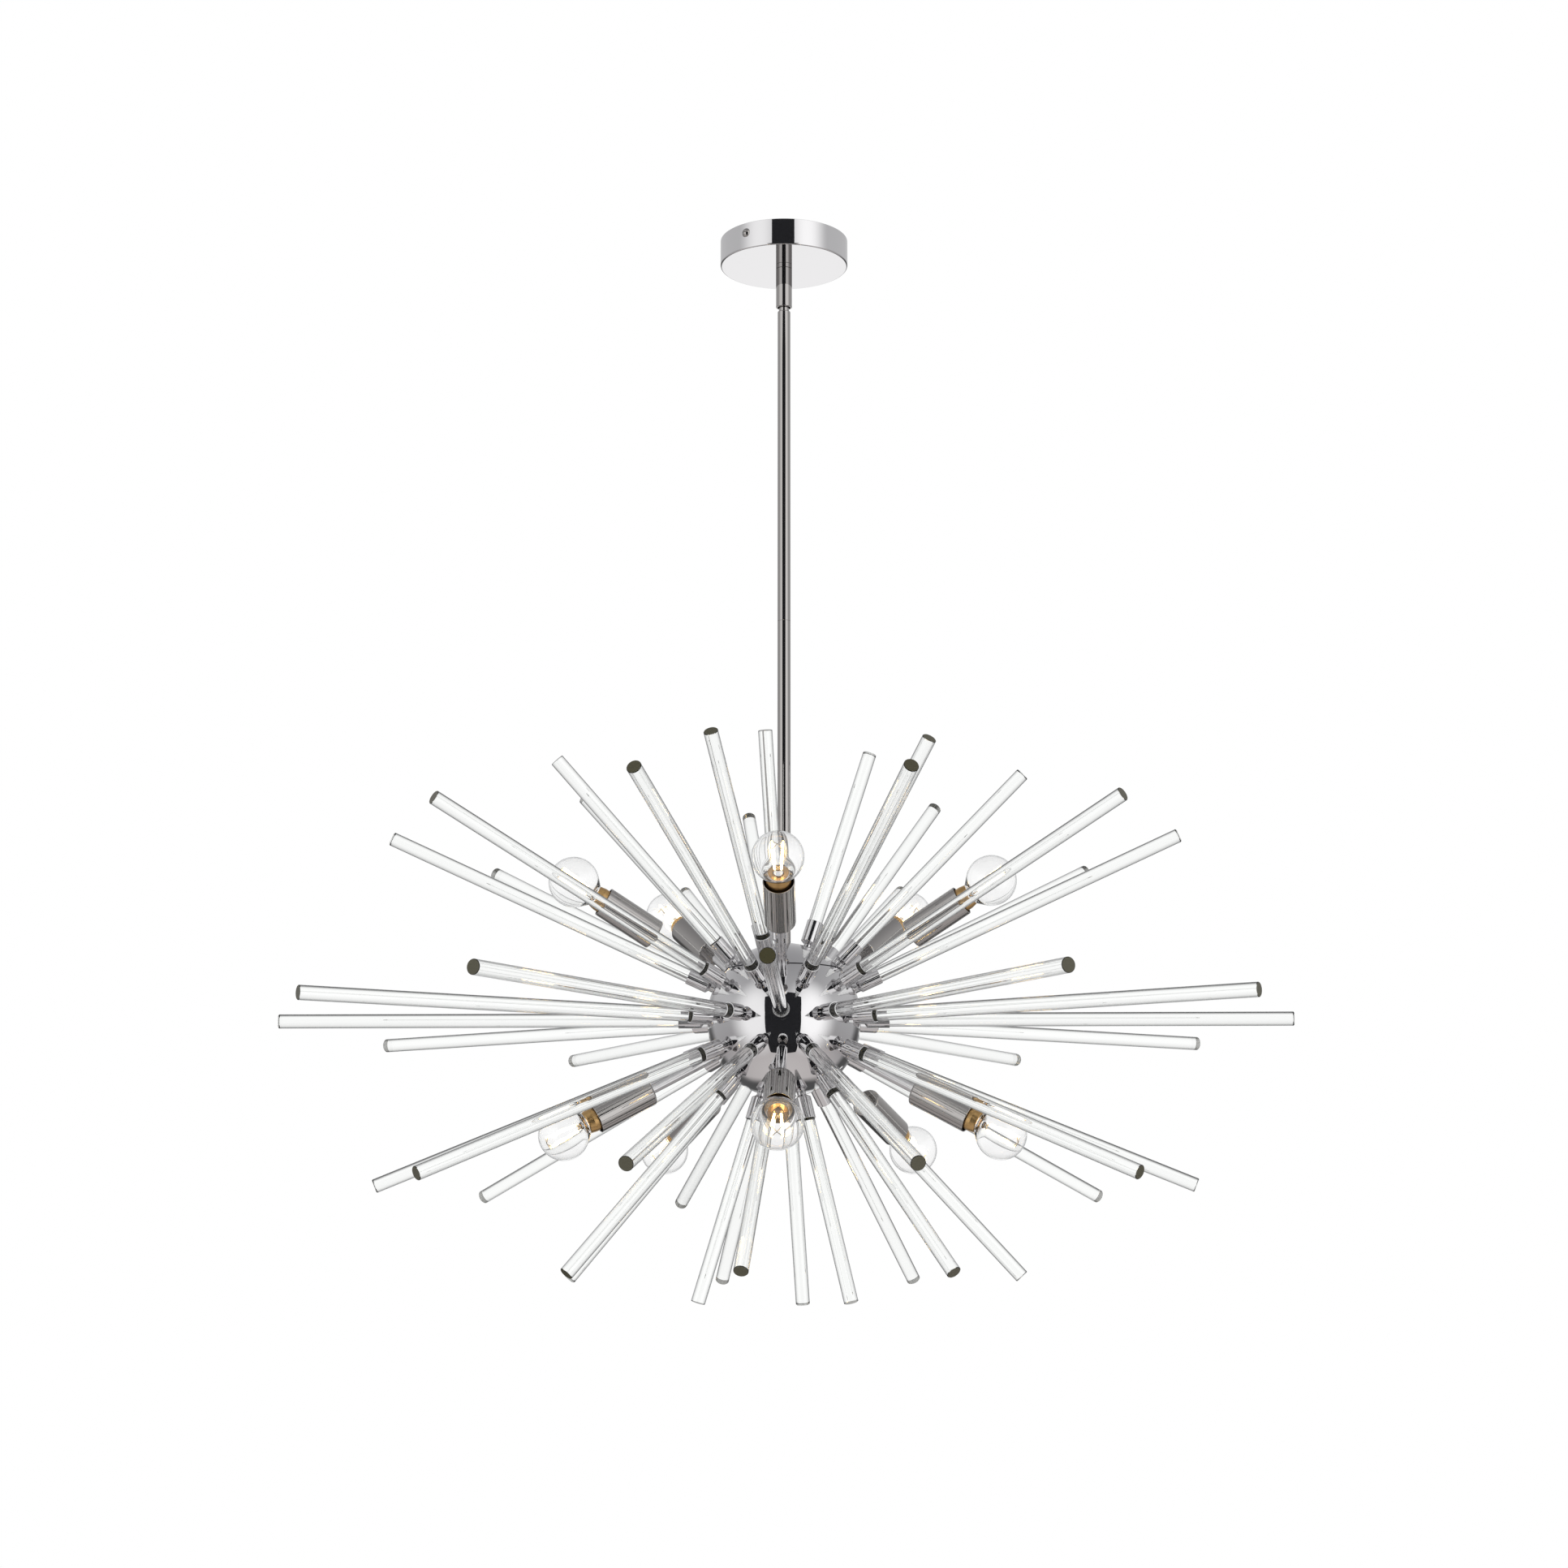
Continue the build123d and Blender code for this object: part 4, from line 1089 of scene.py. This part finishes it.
# %% World
def studio_world():
    """The room by direction, as a world."""
    world = bpy.data.worlds.new("white_studio")
    world.use_nodes = True
    scene.world = world
    tree = world.node_tree
    facing = add(tree, "ShaderNodeTexCoord").outputs["Generated"]
    height = add(tree, "ShaderNodeSeparateXYZ", None, {"Vector": facing}).outputs["Z"]
    level = add(tree, "ShaderNodeMapRange", {"From Min": -1.0}, {"Value": height}).outputs["Result"]
    flattened = add(tree, "ShaderNodeMapping", {"Scale": (1.0, 1.0, UPRIGHT_STRETCH)}, {"Vector": facing})
    unit = add(tree, "ShaderNodeVectorMath", {"operation": "NORMALIZE"}, {0: flattened.outputs["Vector"]})
    studio = tones_by_height(tree, level, ROOM_TONES)
    for patch in STUDIO_PATCHES:
        turned = math.radians(patch["azimuth"])
        lifted = math.radians(patch["elevation"])
        level_reach = math.cos(lifted)
        towards = Vector((math.sin(turned) * level_reach, -math.cos(turned) * level_reach,
                          math.sin(lifted) * UPRIGHT_STRETCH)).normalized()
        near = add(tree, "ShaderNodeVectorMath", {"operation": "DOT_PRODUCT", 1: towards},
                   {0: unit.outputs["Vector"]})
        away = add(tree, "ShaderNodeMath", {"operation": "ARCCOSINE"}, {0: near.outputs["Value"]})
        share = add(tree, "ShaderNodeMapRange",
                    {"interpolation_type": "SMOOTHSTEP", "From Min": math.radians(patch["gone"]),
                     "From Max": math.radians(patch["full"])}, {"Value": away.outputs["Value"]})
        studio = add(tree, "ShaderNodeMix", {"data_type": "RGBA", "B": (patch["light"],) * 3 + (1.0,)},
                     {"Factor": share.outputs["Result"], "A": studio}).outputs["Result"]
    path = add(tree, "ShaderNodeLightPath")
    through = add(tree, "ShaderNodeMix", {"data_type": "RGBA"},
                  {"Factor": path.outputs["Is Transmission Ray"], "A": studio,
                   "B": tones_by_height(tree, level, GLASS_TONES)})
    shown = add(tree, "ShaderNodeMix", {"data_type": "RGBA", "B": (1.0, 1.0, 1.0, 1.0)},
                {"Factor": path.outputs["Is Camera Ray"], "A": through.outputs["Result"]})
    tree.links.new(shown.outputs["Result"], tree.nodes["Background"].inputs["Color"])
    return world


print("world:", studio_world().name)

# %% [markdown]
# ## Floor and dark card
#
# A dark card behind the camera stands for the opening between the two lights, and gives the hub and the
# canopy their sharp black reflection. It is a real sheet and not a patch of the world, because its edges
# are crisp and it is near enough for each piece to see it from its own place. Its outline is given for one
# side, as reach from the middle and height above the hub. The floor is a disc of pale paper far below. It
# only shows when the lamp is seen from above, and is brightened for the camera alone, so that it reads as
# white.

# %% Floor and dark card
FLOOR_DROP = 2.2
FLOOR_RADIUS = 6.0
FLOOR_SEGMENTS = 96
CARD_DISTANCE = 3.0
CARD_OUTLINE = ((1.6, -4.4), (1.5, 0.3), (1.65, 1.8), (1.1, 1.845), (1.1, 2.15))


def stage_sheet(name, corners, finish):
    """A flat sheet of the studio, which is not part of the object."""
    mesh = bpy.data.meshes.new(name)
    mesh.from_pydata(corners, [], [list(range(len(corners)))])
    mesh.materials.append(finish)
    sheet = bpy.data.objects.new(name, mesh)
    scene.collection.objects.link(sheet)
    return sheet


def matt_board(name, code, lift):
    """A matt board of one colour. The lift brightens it for the camera alone and lights nothing."""
    finish, tree, shader = new_finish(name)
    set_values(shader, Base_Color=colour(code), Roughness=0.9, Emission_Color=colour(code))
    seen = add(tree, "ShaderNodeLightPath").outputs["Is Camera Ray"]
    glow = add(tree, "ShaderNodeMath", {"operation": "MULTIPLY", 1: lift}, {0: seen})
    tree.links.new(glow.outputs["Value"], shader.inputs["Emission Strength"])
    return finish


floor_height = cad_box[0][2] - FLOOR_DROP
around = [2 * math.pi * k / FLOOR_SEGMENTS for k in range(FLOOR_SEGMENTS)]
floor_rim = [(FLOOR_RADIUS * math.cos(a), FLOOR_RADIUS * math.sin(a), floor_height) for a in around]
floor = stage_sheet("studio_floor", floor_rim, matt_board("pale_floor_paper", "#f2f1f0", lift=0.4))
floor.visible_glossy = False
floor.visible_transmission = False
card_right = [(reach, -CARD_DISTANCE, hub_centre.z + height) for reach, height in CARD_OUTLINE]
card_left = [(-reach, distance, height) for reach, distance, height in reversed(card_right)]
card_rim = card_right + card_left
card = stage_sheet("dark_card", card_rim, matt_board("black_flock_card", "#323337", lift=0.0))
card.visible_camera = False
card.visible_diffuse = False
card.visible_transmission = False
card.visible_shadow = False
print("stage:", floor.name, card.name)
